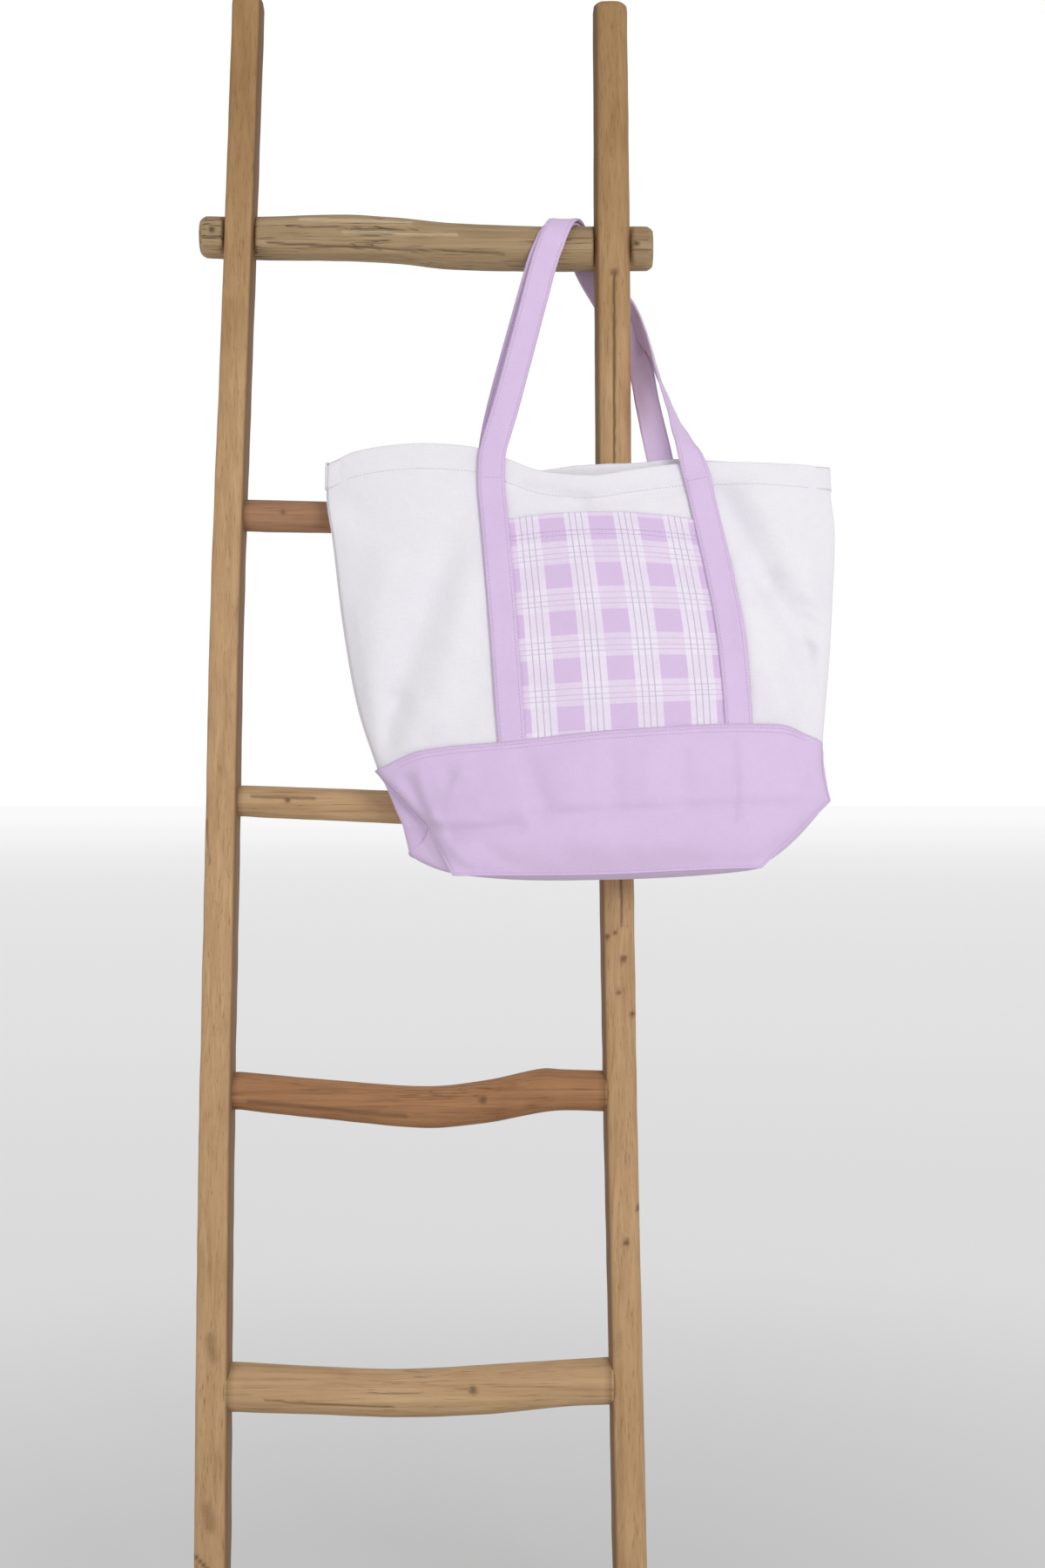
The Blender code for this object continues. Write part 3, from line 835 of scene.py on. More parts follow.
@dataclass(frozen=True)
class Mark:
    """Mark on the face of a branch, from a start to an end across and up."""

    kind: MarkKind
    start: tuple[float, float]
    end: tuple[float, float]
    width: float
    strength: float = 1.0

    def read(self, x: float, z: float) -> float:
        """Strength of the mark at a place.

        Args:
            x: Place across.
            z: Height.

        Returns:
            From 0 outside the mark to its strength in its middle.
        """
        gap = math.hypot(*off_line(self.start, self.end, x, z))
        if gap > self.width:
            return 0.0
        return self.strength * (1.0 - (gap / self.width) ** 2)

    def dent(self, amount: float) -> float:
        """Relief of the mark.

        Args:
            amount: Strength of the mark at a place.

        Returns:
            Metres outwards.
        """
        if self.kind is MarkKind.KNOT:
            return 1.6 * MM * math.sin(math.pi * min(amount * 1.1, 1.0)) - 0.5 * MM * amount
        if self.kind is MarkKind.SPLIT:
            return -1.6 * MM * amount
        return 0.0


def knot(x: float, z: float, radius: float, strength: float = 0.85) -> Mark:
    """Round knot at a place."""
    return Mark(MarkKind.KNOT, (x, z), (x, z), radius, strength)


@dataclass(frozen=True)
class Branch:
    """What the rails and rungs share: a rod with marks on its front."""

    name: str
    slot: str
    marks: tuple[Mark, ...]
    sides: int
    row: float

    def shape(self, run: float, turn: float, radial: float) -> Place:
        """Across, reach and height of a place on the rod; each kind of branch has its own.

        Args:
            run: Place along the rod, from 0 to 1.
            turn: Angle around it.
            radial: 0 in the middle of an end, 1 on the skin.

        Returns:
            The place.
        """
        raise NotImplementedError

    def length(self) -> float:
        """Metres from end to end; each kind of branch has its own."""
        raise NotImplementedError

    def front_edge(self) -> float:
        """Reach behind which marks don't show."""
        raise NotImplementedError

    def squeezed(self, run: float, rows: int) -> float:
        """Place along the rod with the rows at its ends drawn closer, for rounded ends.

        Args:
            run: Even place along the rod, from 0 to 1.
            rows: Faces along the rod.

        Returns:
            The drawn place, from 0 to 1.
        """
        near = min(run, 1.0 - run)
        zone = 4.0 / rows
        if near >= zone:
            return run
        near = near * near / zone
        return near if run < 0.5 else 1.0 - near

    def build(self, plane: LeaningPlane, finish: bpy.types.Material) -> bpy.types.Object:
        """Build the branch with its marks as relief and as attributes.

        Args:
            plane: Places the branch.
            finish: Its wood.

        Returns:
            The piece.
        """
        rows = max(8, round(self.length() / self.row))
        bm = rod_mesh(self.sides, rows)
        dark = bm.verts.layers.float.new("dark")
        pale = bm.verts.layers.float.new("pale")
        for vert in bm.verts:
            radial = min(math.hypot(vert.co.x, vert.co.y), 1.0)
            turn = math.atan2(vert.co.y, vert.co.x)
            x, reach, z = self.shape(self.squeezed(vert.co.z, rows), turn, radial)
            vert[dark], vert[pale], lift = self.read_marks(x, reach, z)
            # Rails get painted shade on their inner sides here, and rungs a dark line at each shoulder.
            vert[dark] = max(vert[dark], self.joint_shade(x, z))
            vert.co = plane.point(x, reach + lift, z)
        bmesh.ops.remove_doubles(bm, verts=bm.verts, dist=1e-6)
        bmesh.ops.recalc_face_normals(bm, faces=bm.faces)
        piece = add_piece(self.name + "_wood", bm, finish)
        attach(piece, "rack")
        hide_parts(self.name)
        return piece

    def joint_shade(self, x: float, z: float) -> float:
        """Dark line where a rung meets a rail, or painted shade on the inner side of a rail."""
        return 0.0

    def read_marks(self, x: float, reach: float, z: float) -> tuple[float, float, float]:
        """Darkness, paleness and lift of the skin at a place.

        Args:
            x: Place across.
            reach: Place in front of the rails.
            z: Height.

        Returns:
            Darkness from 0 to 1, paleness from 0 to 1, and metres outwards.
        """
        dark = pale = lift = 0.0
        if reach < self.front_edge():
            return dark, pale, lift
        wander = 0.8 * MM * ripple(x, 0.0, z, 0.012, 3.1)
        for mark in self.marks:
            amount = mark.read(x + wander, z + wander)
            if amount <= 0.0:
                continue
            if mark.kind is MarkKind.SCUFF:
                pale = max(pale, amount)
            else:
                dark = max(dark, amount)
            lift += mark.dent(amount)
        return clamp(dark), clamp(pale), lift


@dataclass(frozen=True)
class Rail(Branch):
    """Upright sapling with four worn faces."""

    edges: tuple[tuple[float, float, float], ...]
    top: float
    squareness: float
    depth: float = 0.040
    end_round: float = 0.006
    # Span across the rail, 0 at its left edge and 1 at its right, over which the painted shade of its inner
    # side fades in.
    painted_shade_span: tuple[float, float] = (0.88, 0.97)
    left: Profile = field(init=False)
    right: Profile = field(init=False)

    def __post_init__(self) -> None:
        """Split the edge table into the two edge profiles."""
        object.__setattr__(self, "left", Profile(tuple((e[0], e[1]) for e in self.edges)))
        object.__setattr__(self, "right", Profile(tuple((e[0], e[2]) for e in self.edges)))

    def length(self) -> float:
        """Metres from foot to top."""
        return self.top

    def joint_shade(self, x: float, z: float) -> float:
        """Painted shade on the side that faces the other rail, where less light falls."""
        left, right = self.left.at(z), self.right.at(z)
        return 0.7 * ease((x - left) / (right - left), *self.painted_shade_span)

    def front_edge(self) -> float:
        """Marks stay on the front face."""
        return -0.6 * self.depth

    def shape(self, run: float, turn: float, radial: float) -> Place:
        """Place on the rail: a rounded square section between its two edges."""
        z = run * self.top
        left, right = self.left.at(z), self.right.at(z)
        side_x, side_y = square_direction(turn)
        power = self.squareness
        spread = (abs(side_x) ** power + abs(side_y) ** power) ** (-1.0 / power)
        swell = 1.0 + 0.030 * ripple(side_x, side_y, z * 12.0, 1.0, self.top)
        rounding = 1.0
        from_top = self.top - z
        if from_top < self.end_round:
            rounding = 1.0 - 0.22 * (1.0 - from_top / self.end_round) ** 2
        half = (right - left) / 2 * rounding
        facet = 0.5 * MM * ripple(side_x * 2.0, side_y * 2.0, z * 25.0, 1.0, 7.7)
        x = (left + right) / 2 + (half + facet) * side_x * spread * radial
        reach = -self.depth / 2 + (self.depth / 2 * rounding * swell + facet) * side_y * spread * radial
        dome = 0.0015 * (1.0 - radial**2) if from_top < MM else 0.0
        return x, min(reach, 0.0012), z + dome


def square_direction(turn: float) -> tuple[float, float]:
    """Place on a unit square's edge, spread evenly with the angle.

    Args:
        turn: Angle from -pi to pi.

    Returns:
        Across and forward, the larger of which is 1 in size.
    """
    eighth = (turn % (2.0 * math.pi)) / (math.pi / 4.0)
    side = int(((eighth + 1.0) % 8.0) // 2.0)
    slope = ((eighth + 1.0) % 2.0) - 1.0
    return ((1.0, slope), (-slope, 1.0), (-1.0, -slope), (slope, -1.0))[side]


@dataclass(frozen=True)
class Rung(Branch):
    """Branch set across the rails."""

    knots: tuple[tuple[float, float, float], ...]
    ends: tuple[float, float]
    reach: float
    wobble: float = 0.6 * MM
    shoulders: tuple[float, float] = (-9.0, 9.0)
    laps: tuple[tuple[float, float], ...] = ()
    lap_reach: float = -0.0166
    end_round: float = 0.0
    height: Profile = field(init=False)
    radius: Profile = field(init=False)

    def __post_init__(self) -> None:
        """Split the knot table into the height and radius profiles."""
        object.__setattr__(self, "height", Profile(tuple((k[0], k[1]) for k in self.knots)))
        object.__setattr__(self, "radius", Profile(tuple((k[0], k[2]) for k in self.knots)))

    def length(self) -> float:
        """Metres from end to end."""
        return self.ends[1] - self.ends[0]

    def front_edge(self) -> float:
        """Marks stay on the front half."""
        return self.reach

    def joint_shade(self, x: float, z: float) -> float:
        """Dark line close to each shoulder."""
        near = min(abs(x - self.shoulders[0]), abs(x - self.shoulders[1]))
        return 0.75 * (1.0 - ease(near, 0.4 * MM, 2.6 * MM))

    def shape(self, run: float, turn: float, radial: float) -> Place:
        """Place on the rung: a round section, flattened where a rail crosses it."""
        x = mix(self.ends[0], self.ends[1], run)
        from_end = min(x - self.ends[0], self.ends[1] - x)
        radius = self.radius.at(x)
        if self.end_round and from_end < self.end_round:
            radius *= 1.0 - 0.20 * (1.0 - from_end / self.end_round) ** 2
        uneven = ripple(x * 9.0, math.cos(turn), math.sin(turn), 1.0, self.reach * 50)
        fine = ripple(x * 45.0, 2.0 * math.cos(turn), 2.0 * math.sin(turn), 1.0, 5.0)
        radius = (radius + self.wobble * uneven + 0.25 * MM * fine) * radial
        reach = self.reach + radius * math.cos(turn)
        z = self.height.at(x) + radius * math.sin(turn)
        for left, right in self.laps:
            inside = ease(x, left - 0.5 * MM, left) * (1.0 - ease(x, right, right + 0.5 * MM))
            if inside > 0.0:
                reach = mix(reach, min(reach, self.lap_reach), inside)
        return x, reach, z


@dataclass
class Ladder:
    """Two rails and five rungs."""

    plane: LeaningPlane
    finishes: FinishBox
    rail_sides: int = 96
    rung_sides: int = 72
    rail_row: float = 3.6 * MM
    rung_row: float = 2.6 * MM
    rung_reach: float = -0.022
    lap_z: float = 1.48
    tuck: float = 0.004
    pieces: list[bpy.types.Object] = field(default_factory=list)

    def rails(self) -> tuple[Rail, Rail]:
        """Sizes and marks of the two rails.

        Returns:
            The left and the right rail.
        """
        left_edges = (
            (0.0, -0.3296, -0.2957), (0.30, -0.3309, -0.2970), (0.55, -0.3311, -0.2973),
            (0.83, -0.3283, -0.2954), (1.10, -0.3259, -0.2932), (1.42, -0.3176, -0.2862),
            (1.748, -0.3106, -0.2786),
        )
        right_edges = (
            (0.0, 0.0930, 0.1275), (0.30, 0.0880, 0.1225), (0.55, 0.0835, 0.1182), (0.80, 0.0800, 0.1155),
            (1.10, 0.0780, 0.1149), (1.42, 0.0763, 0.1144), (1.742, 0.0755, 0.1124),
        )
        left_marks = (
            Mark(MarkKind.SCUFF, (-0.331, 0.852), (-0.322, 0.832), 2.2 * MM, 0.8),
            Mark(MarkKind.SPLIT, (-0.3265, 0.868), (-0.3225, 0.824), 1.6 * MM, 0.5),
            Mark(MarkKind.STAIN, (-0.316, 0.345), (-0.312, 0.325), 7.0 * MM, 0.35),
            Mark(MarkKind.STAIN, (-0.317, 0.178), (-0.313, 0.160), 8.0 * MM, 0.35),
            Mark(MarkKind.SPLIT, (-0.329, 0.131), (-0.306, 0.110), 2.2 * MM, 0.8),
            Mark(MarkKind.STAIN, (-0.329, 0.895), (-0.329, 0.880), 3.0 * MM, 0.6),
        )
        right_marks = (
            knot(0.0965, 1.444, 5.0 * MM),
            Mark(MarkKind.SPLIT, (0.0965, 1.44), (0.0960, 1.20), 1.7 * MM, 0.95),
            Mark(MarkKind.SPLIT, (0.0960, 1.20), (0.1000, 0.95), 1.6 * MM, 0.9),
            Mark(MarkKind.SPLIT, (0.1000, 0.95), (0.1020, 0.760), 1.5 * MM, 0.8),
            knot(0.0870, 0.748, 4.0 * MM), knot(0.0950, 0.752, 3.0 * MM), knot(0.1040, 0.726, 4.5 * MM),
            knot(0.0985, 0.692, 3.6 * MM), knot(0.1128, 0.669, 4.2 * MM), knot(0.1180, 0.473, 4.4 * MM),
            knot(0.1055, 0.440, 4.0 * MM),
        )
        grid = (self.rail_sides, self.rail_row)
        return (
            Rail("left_rail", "rail_wood", left_marks, *grid, left_edges, top=1.748, squareness=7.0),
            Rail(
                "right_rail", "rail_wood", right_marks, *grid, right_edges, top=1.742, squareness=3.0,
                # Painted shade on the right rail's left side, which faces the left rail.
                painted_shade_span=(0.17, 0.07),
            ),
        )

    def rungs(self, left: Rail, right: Rail) -> tuple[Rung, ...]:
        """Sizes and marks of the five rungs.

        Args:
            left: The left rail.
            right: The right rail.

        Returns:
            The rungs from the top down.
        """
        top_knots = (
            (-0.3434, 1.4894, 0.0223), (-0.2805, 1.4880, 0.0230), (-0.1926, 1.4885, 0.0246),
            (-0.1331, 1.4852, 0.0247), (-0.0782, 1.4793, 0.0247), (0.0140, 1.4762, 0.0240),
            (0.0800, 1.4765, 0.0240), (0.1387, 1.4761, 0.0235),
        )
        top_marks = (
            knot(-0.3290, 1.492, 4.5 * MM, 0.9), knot(0.1200, 1.476, 4.0 * MM, 0.9),
            Mark(MarkKind.SPLIT, (-0.338, 1.484), (-0.290, 1.483), 1.3 * MM, 0.8),
            Mark(MarkKind.SPLIT, (-0.270, 1.478), (-0.150, 1.472), 1.5 * MM, 0.8),
            Mark(MarkKind.SPLIT, (-0.150, 1.472), (-0.020, 1.466), 1.3 * MM, 0.7),
            Mark(MarkKind.SPLIT, (-0.250, 1.496), (-0.110, 1.491), 1.2 * MM, 0.6),
            Mark(MarkKind.SPLIT, (0.118, 1.470), (0.136, 1.470), 1.2 * MM, 0.7),
            Mark(MarkKind.SCUFF, (-0.235, 1.504), (-0.120, 1.500), 3.2 * MM, 0.8),
            Mark(MarkKind.SCUFF, (-0.190, 1.489), (-0.070, 1.486), 2.6 * MM, 0.7),
        )
        laps = tuple(
            (rail.left.at(self.lap_z) - MM, rail.right.at(self.lap_z) + MM) for rail in (left, right)
        )
        grid = (self.rung_sides, self.rung_row)
        rungs = [
            Rung(
                "top_rung", "top_rung_wood", top_marks, *grid, top_knots,
                (top_knots[0][0], top_knots[-1][0]), TOP_RUNG_REACH,
                laps=laps, end_round=0.007, wobble=0.7 * MM,
            )
        ]
        tables = (
            (
                "rung_2", "dark_rung_wood",
                (
                    (-0.29, 1.188, 0.0168), (-0.20, 1.186, 0.0168), (-0.05, 1.184, 0.0172),
                    (0.08, 1.188, 0.0165),
                ),
                (knot(-0.251, 1.190, 4.0 * MM, 0.6),),
            ),
            (
                "rung_3", "pale_rung_wood",
                (
                    (-0.29, 0.8873, 0.0160), (-0.21, 0.884, 0.0168), (-0.10, 0.880, 0.0172),
                    (0.08, 0.882, 0.0165),
                ),
                (
                    knot(-0.243, 0.889, 4.2 * MM, 0.8),
                    Mark(MarkKind.STAIN, (-0.280, 0.892), (-0.215, 0.890), 2.4 * MM, 0.5),
                ),
            ),
            (
                "rung_4", "red_rung_wood",
                (
                    (-0.29, 0.5889, 0.0189), (-0.20, 0.5800, 0.0200), (-0.10, 0.5724, 0.0210),
                    (-0.036, 0.5781, 0.0216), (0.020, 0.5893, 0.0222), (0.042, 0.5900, 0.0208),
                    (0.085, 0.5889, 0.0207),
                ),
                (
                    knot(-0.040, 0.583, 5.0 * MM, 0.6),
                    Mark(MarkKind.STAIN, (-0.28, 0.580), (-0.12, 0.566), 3.4 * MM, 0.4),
                ),
            ),
            (
                "rung_5", "pale_rung_wood",
                (
                    (-0.29, 0.2910, 0.0239), (-0.20, 0.2873, 0.0232), (-0.13, 0.2849, 0.0232),
                    (-0.036, 0.2884, 0.0239), (0.044, 0.2950, 0.0226), (0.09, 0.2973, 0.0231),
                ),
                (
                    knot(-0.050, 0.294, 5.5 * MM, 0.7),
                    Mark(MarkKind.SPLIT, (-0.26, 0.283), (-0.13, 0.276), 1.3 * MM, 0.6),
                ),
            ),
        )
        for name, slot, knots, marks in tables:
            shoulders = (left.right.at(knots[0][1]), right.left.at(knots[-1][1]))
            ends = (shoulders[0] - self.tuck, shoulders[1] + self.tuck)
            rungs.append(Rung(name, slot, marks, *grid, knots, ends, self.rung_reach, shoulders=shoulders))
        return tuple(rungs)

    def build(self) -> None:
        """Build every rail and rung."""
        left, right = self.rails()
        for branch in (left, right, *self.rungs(left, right)):
            self.pieces.append(branch.build(self.plane, self.finishes[branch.slot]))


# ---------------------------------------------------------------- sewing


@dataclass(frozen=True)
class Lockstitch:
    """Row of stitches, each a bead of thread sunk halfway into the cloth."""

    pitch: float = 3.4 * MM
    length: float = 2.7 * MM
    radius: float = 0.45 * MM

    def sew(self, bm: bmesh.types.BMesh, line: Sequence[Vector]) -> None:
        """Add stitches along a line of points.

        Args:
            bm: Mesh that takes the stitches.
            line: Points on the cloth, close together.
        """
        due = self.pitch / 2
        for before, after in zip(line, line[1:]):
            span = (after - before).length
            while due <= span:
                middle = before.lerp(after, due / span)
                turn = (after - before).to_track_quat("X", "Z").to_matrix().to_4x4()
                scale = Matrix.Diagonal((self.length / 2, self.radius, self.radius, 1.0))
                placed = Matrix.Translation(middle) @ turn @ scale
                bmesh.ops.create_icosphere(bm, subdivisions=1, radius=1.0, matrix=placed)
                due += self.pitch
            due -= span


STITCH = Lockstitch()


# ---------------------------------------------------------------- bag


@dataclass(frozen=True)
class BagShape:
    """Where the bag's panels and base run."""

    plane: LeaningPlane
    cloth: float = 2.5 * MM
    left_side: Profile = Profile((
        (0.0, -0.2063), (0.13, -0.2058), (0.25, -0.1996), (0.54, -0.1873), (0.80, -0.1713), (1.0, -0.1500),
    ))
    right_side: Profile = Profile((
        (0.0, 0.3185), (0.10, 0.3195), (0.24, 0.3229), (0.45, 0.3197), (0.67, 0.3151), (1.0, 0.3055),
    ))
    front_rim: Profile = Profile((
        (0.0, 1.2395), (0.06, 1.2500), (0.13, 1.2560), (0.22, 1.2580), (0.31, 1.2530), (0.37, 1.2405),
        (0.42, 1.2300), (0.48, 1.2250), (0.54, 1.2240), (0.61, 1.2300), (0.68, 1.2355), (0.74, 1.2385),
        (0.87, 1.2375), (1.0, 1.2350),
    ))
    back_rim: Profile = Profile((
        (0.0, 1.2389), (0.15, 1.2430), (0.31, 1.2430), (0.42, 1.2320), (0.52, 1.2385), (0.62, 1.2400),
        (0.70, 1.2440), (1.0, 1.2334),
    ))
    seam: Profile = Profile((
        (0.0, 0.9174), (0.10, 0.9380), (0.30, 0.9480), (0.55, 0.9600), (0.90, 0.9646), (1.0, 0.9466),
    ))
    rim_bulge: Profile = Profile((
        (0.0, 0.0), (0.15, 0.009), (0.31, 0.007), (0.53, 0.014), (0.73, 0.007), (0.87, 0.009), (1.0, 0.0),
    ))
    seam_bulge: float = 0.038
    rim_reach: float = 0.014
    seam_reach: float = 0.034
    back_reach: float = 0.0068
    wrap: float = 0.0050
    wrap_share: float = 0.035
    front_folds: tuple[Fold, ...] = (
        Fold((-0.076, 1.150), (-0.128, 0.994), 0.0170, -7.0 * MM),
        Fold((-0.050, 1.120), (-0.088, 0.975), 0.0180, 5.5 * MM),
        Fold((-0.140, 1.130), (-0.158, 1.000), 0.0200, 4.6 * MM),
        Fold((-0.128, 0.990), (-0.143, 0.940), 0.0110, -6.0 * MM),
        Fold((-0.105, 0.985), (-0.112, 0.945), 0.0120, 3.6 * MM),
        Fold((-0.195, 1.190), (-0.110, 1.150), 0.0200, -3.0 * MM),
        Fold((-0.185, 1.225), (-0.080, 1.205), 0.0200, 2.6 * MM),
        Fold((-0.172, 1.080), (-0.165, 0.990), 0.0080, 2.0 * MM),
        Fold((0.205, 1.205), (0.252, 1.110), 0.0150, -8.5 * MM),
        Fold((0.252, 1.110), (0.290, 1.045), 0.0140, -8.0 * MM),
        Fold((0.292, 1.040), (0.304, 0.965), 0.0120, -6.0 * MM),
        Fold((0.228, 1.075), (0.262, 0.985), 0.0200, 8.0 * MM),
        Fold((0.240, 1.210), (0.296, 1.110), 0.0220, 7.0 * MM),
        Fold((0.225, 1.130), (0.268, 1.050), 0.0120, 3.5 * MM),
        Fold((0.270, 1.020), (0.285, 0.965), 0.0110, -4.5 * MM),
        Fold((0.288, 1.098), (0.306, 1.086), 0.0050, 2.6 * MM),
        Fold((0.288, 1.074), (0.308, 1.064), 0.0045, -2.6 * MM),
        Fold((0.292, 1.055), (0.308, 1.040), 0.0050, 2.2 * MM),
        Fold((0.000, 1.213), (0.060, 1.197), 0.0110, -5.0 * MM),
        Fold((0.060, 1.197), (0.165, 1.215), 0.0110, -5.0 * MM),
        Fold((-0.005, 1.232), (0.050, 1.214), 0.0070, 2.0 * MM),
        Fold((0.050, 1.214), (0.140, 1.222), 0.0070, 2.0 * MM),
    )

    def side_x(self, q: float, s: float) -> float:
        """Place across at a share of the width and of the drop from rim to seam."""
        return mix(self.left_side.at(s), self.right_side.at(s), q)

    def side_reach(self, s: float) -> float:
        """Reach of the side seams."""
        return mix(self.rim_reach, self.seam_reach, s)

    def wrap_shift(self, q: float) -> float:
        """How far the panels are pushed right where they meet at the left side."""
        return self.wrap * math.exp(-((q / self.wrap_share) ** 2))

    def front(self, q: float, s: float) -> Place:
        """Place on the front panel's outer face.

        Args:
            q: Share of the width from the left.
            s: Share of the drop from the rim.

        Returns:
            Across, reach and height.
        """
        x = self.side_x(q, s) + self.wrap_shift(q)
        z = mix(self.front_rim.at(q), self.seam.at(q), s)
        softness = ease(s)
        bulge = self.rim_bulge.at(q) * (1.0 - softness) + self.seam_bulge * lens(q) * softness
        calm = ease(q, 0.0, 0.06) * ease(1.0 - q, 0.0, 0.05)
        folds = relief(self.front_folds, x, z) * calm * ease(s, 0.0, 0.12)
        crumple = 0.9 * MM * ripple(x, 0.0, z, 0.055, 1.3) + 0.35 * MM * ripple(x, 0.0, z, 0.020, 4.2)
        crumple *= calm
        return x, self.side_reach(s) + self.cloth + bulge + folds + crumple, z

    def back(self, q: float, s: float) -> Place:
        """Place on the back panel's outer face, which wraps round the left side seam.

        Args:
            q: Share of the width from the left.
            s: Share of the drop from the rim.

        Returns:
            Across, reach and height.
        """
        turn = math.cos(math.pi * q)
        share = 0.5 - 0.5 * math.copysign(abs(turn) ** 0.55, turn)
        x = self.side_x(share, s)
        depth = self.side_reach(s) + self.cloth - self.back_reach
        reach = self.side_reach(s) + self.cloth - depth * abs(math.sin(math.pi * q)) ** 0.55
        z = mix(self.back_rim.at(share), self.seam.at(share), s)
        calm = ease(q, 0.03, 0.12) * ease(1.0 - q, 0.03, 0.12) * ease(1.0 - s, 0.0, 0.2)
        crumple = calm * 1.0 * MM * ripple(x, 1.0, z, 0.060, 8.3)
        behind = self.cloth * ease(q, 0.02, 0.1) * ease(1.0 - q, 0.0, 0.08)
        return x + self.wrap_shift(q), reach - behind - crumple, z

    def front_reach_at(self, x: float, z: float) -> float:
        """Reach of the front panel's outer face.

        Args:
            x: Place across.
            z: Height.

        Returns:
            Metres in front of the rails.
        """
        q = s = 0.5
        for _ in range(6):
            left, right = self.left_side.at(s), self.right_side.at(s)
            q = clamp((x - left) / (right - left))
            top, bottom = self.front_rim.at(q), self.seam.at(q)
            s = clamp((top - z) / (top - bottom))
        return self.front(q, s)[1]

    def back_reach_at(self, x: float, z: float) -> float:
        """Reach of the back panel's outer face, away from the sides."""
        return self.back_reach - self.cloth - 1.0 * MM * ripple(x, 1.0, z, 0.060, 8.3)


@dataclass(frozen=True)
class BaseShape:
    """Boxed base: a front and a back band, and a bottom pinned to both at its two corners."""

    bag: BagShape
    lap: float = 3.4 * MM
    belt_z: Profile = Profile((
        (0.0, 0.8614), (0.10, 0.8690), (0.25, 0.8745), (0.60, 0.8800), (0.90, 0.8850), (1.0, 0.8880),
    ))
    belt_x: tuple[float, float] = (-0.0950, 0.3113)
    fold_z: Profile = Profile(((0.0, 0.8150), (0.45, 0.8160), (0.85, 0.8215), (1.0, 0.8225)))
    fold_x: tuple[float, float] = (-0.0690, 0.2370)
    right_edge: Profile = Profile(((0.0, 0.0), (0.35, -0.0030), (0.70, -0.0025), (1.0, 0.0)))
    left_swell: Profile = Profile(((0.0, 0.0), (0.40, 0.0170), (0.80, 0.0270), (1.0, 0.0290)))
    swell_q: float = 0.07
    swell_width: float = 0.09
    back_fold_z: tuple[float, float] = (0.8175, 0.8225)
    back_lap: float = 1.7 * MM
    front_folds: tuple[Fold, ...] = (
        Fold((-0.088, 0.8655), (0.000, 0.8740), 0.0080, 6.0 * MM),
        Fold((-0.070, 0.8560), (-0.005, 0.8640), 0.0085, -4.6 * MM),
        Fold((-0.090, 0.8700), (-0.060, 0.9150), 0.0090, 5.0 * MM),
        Fold((-0.117, 0.9080), (-0.098, 0.8720), 0.0070, -5.4 * MM),
        Fold((-0.103, 0.9150), (-0.092, 0.8720), 0.0050, 2.6 * MM),
        Fold((-0.072, 0.9120), (-0.082, 0.8760), 0.0060, -3.0 * MM),
        Fold((-0.080, 0.8500), (-0.050, 0.8240), 0.0070, 2.6 * MM),
        Fold((-0.040, 0.8450), (-0.010, 0.8230), 0.0090, -2.2 * MM),
        Fold((0.000, 0.9350), (0.020, 0.8850), 0.0110, -4.6 * MM),
        Fold((0.040, 0.9400), (0.052, 0.8880), 0.0140, 2.2 * MM),
        Fold((0.088, 0.9400), (0.092, 0.8880), 0.0120, -3.0 * MM),
        Fold((0.125, 0.9350), (0.128, 0.8900), 0.0130, 2.0 * MM),
        Fold((0.158, 0.9350), (0.160, 0.8880), 0.0100, -2.8 * MM),
        Fold((0.2105, 0.9450), (0.2125, 0.8700), 0.0040, -2.2 * MM),
        Fold((0.2185, 0.9450), (0.2200, 0.8700), 0.0075, 2.2 * MM),
        Fold((-0.040, 0.8720), (0.310, 0.8870), 0.0055, -1.3 * MM),
        Fold((-0.040, 0.8800), (0.310, 0.8950), 0.0080, 1.3 * MM),
        Fold((0.268, 0.9420), (0.288, 0.9000), 0.0110, -3.6 * MM),
        Fold((0.298, 0.9300), (0.304, 0.8950), 0.0080, 2.4 * MM),
        Fold((0.2500, 0.8560), (0.2250, 0.8350), 0.0100, 2.2 * MM),
        Fold((0.060, 0.8500), (0.180, 0.8420), 0.0140, 1.6 * MM),
    )

    def front_band(self, q: float, w: float) -> Place:
        """Place on the front band.

        Args:
            q: Share of the width from the left seam.
            w: 0 at the seam, 1 on the belt line through both corners, 2 on the bottom fold.

        Returns:
            Across, reach and height.
        """
        top_x, top_reach, top_z = self.bag.front(q, 1.0)
        top_x -= self.bag.wrap_shift(q)
        belt_reach = mix(0.0500, 0.0420, q) + 0.046 * lens(q, 2.6) ** 1.1
        belt = (mix(*self.belt_x, q), belt_reach, self.belt_z.at(q))
        fold = (mix(*self.fold_x, q), 0.0790 + 0.006 * lens(q, 2.0), self.fold_z.at(q))
        if w <= 1.0:
            x, reach, z = (mix(a, b, w) for a, b in zip((top_x, top_reach + self.lap, top_z), belt))
            x += self.right_edge.at(w) * q**3
            reach += 0.010 * math.sin(math.pi * w) * lens(q, 3.0)
        else:
            x, reach, z = (mix(a, b, w - 1.0) for a, b in zip(belt, fold))
            reach += 0.008 * math.sin(math.pi * (w - 1.0)) * lens(q, 3.0)
        calm = ease(q, 0.0, 0.04) * ease(1.0 - q, 0.0, 0.04) * ease(2.0 - w, 0.0, 0.25)
        folds = relief(self.front_folds, x, z) * calm * ease(w, 0.0, 0.2)
        crumple = 0.9 * MM * ripple(x, 0.0, z, 0.035, 9.4) + 0.4 * MM * ripple(x, 0.0, z, 0.014, 2.2)
        crumple *= calm
        return x, reach + folds + crumple, z

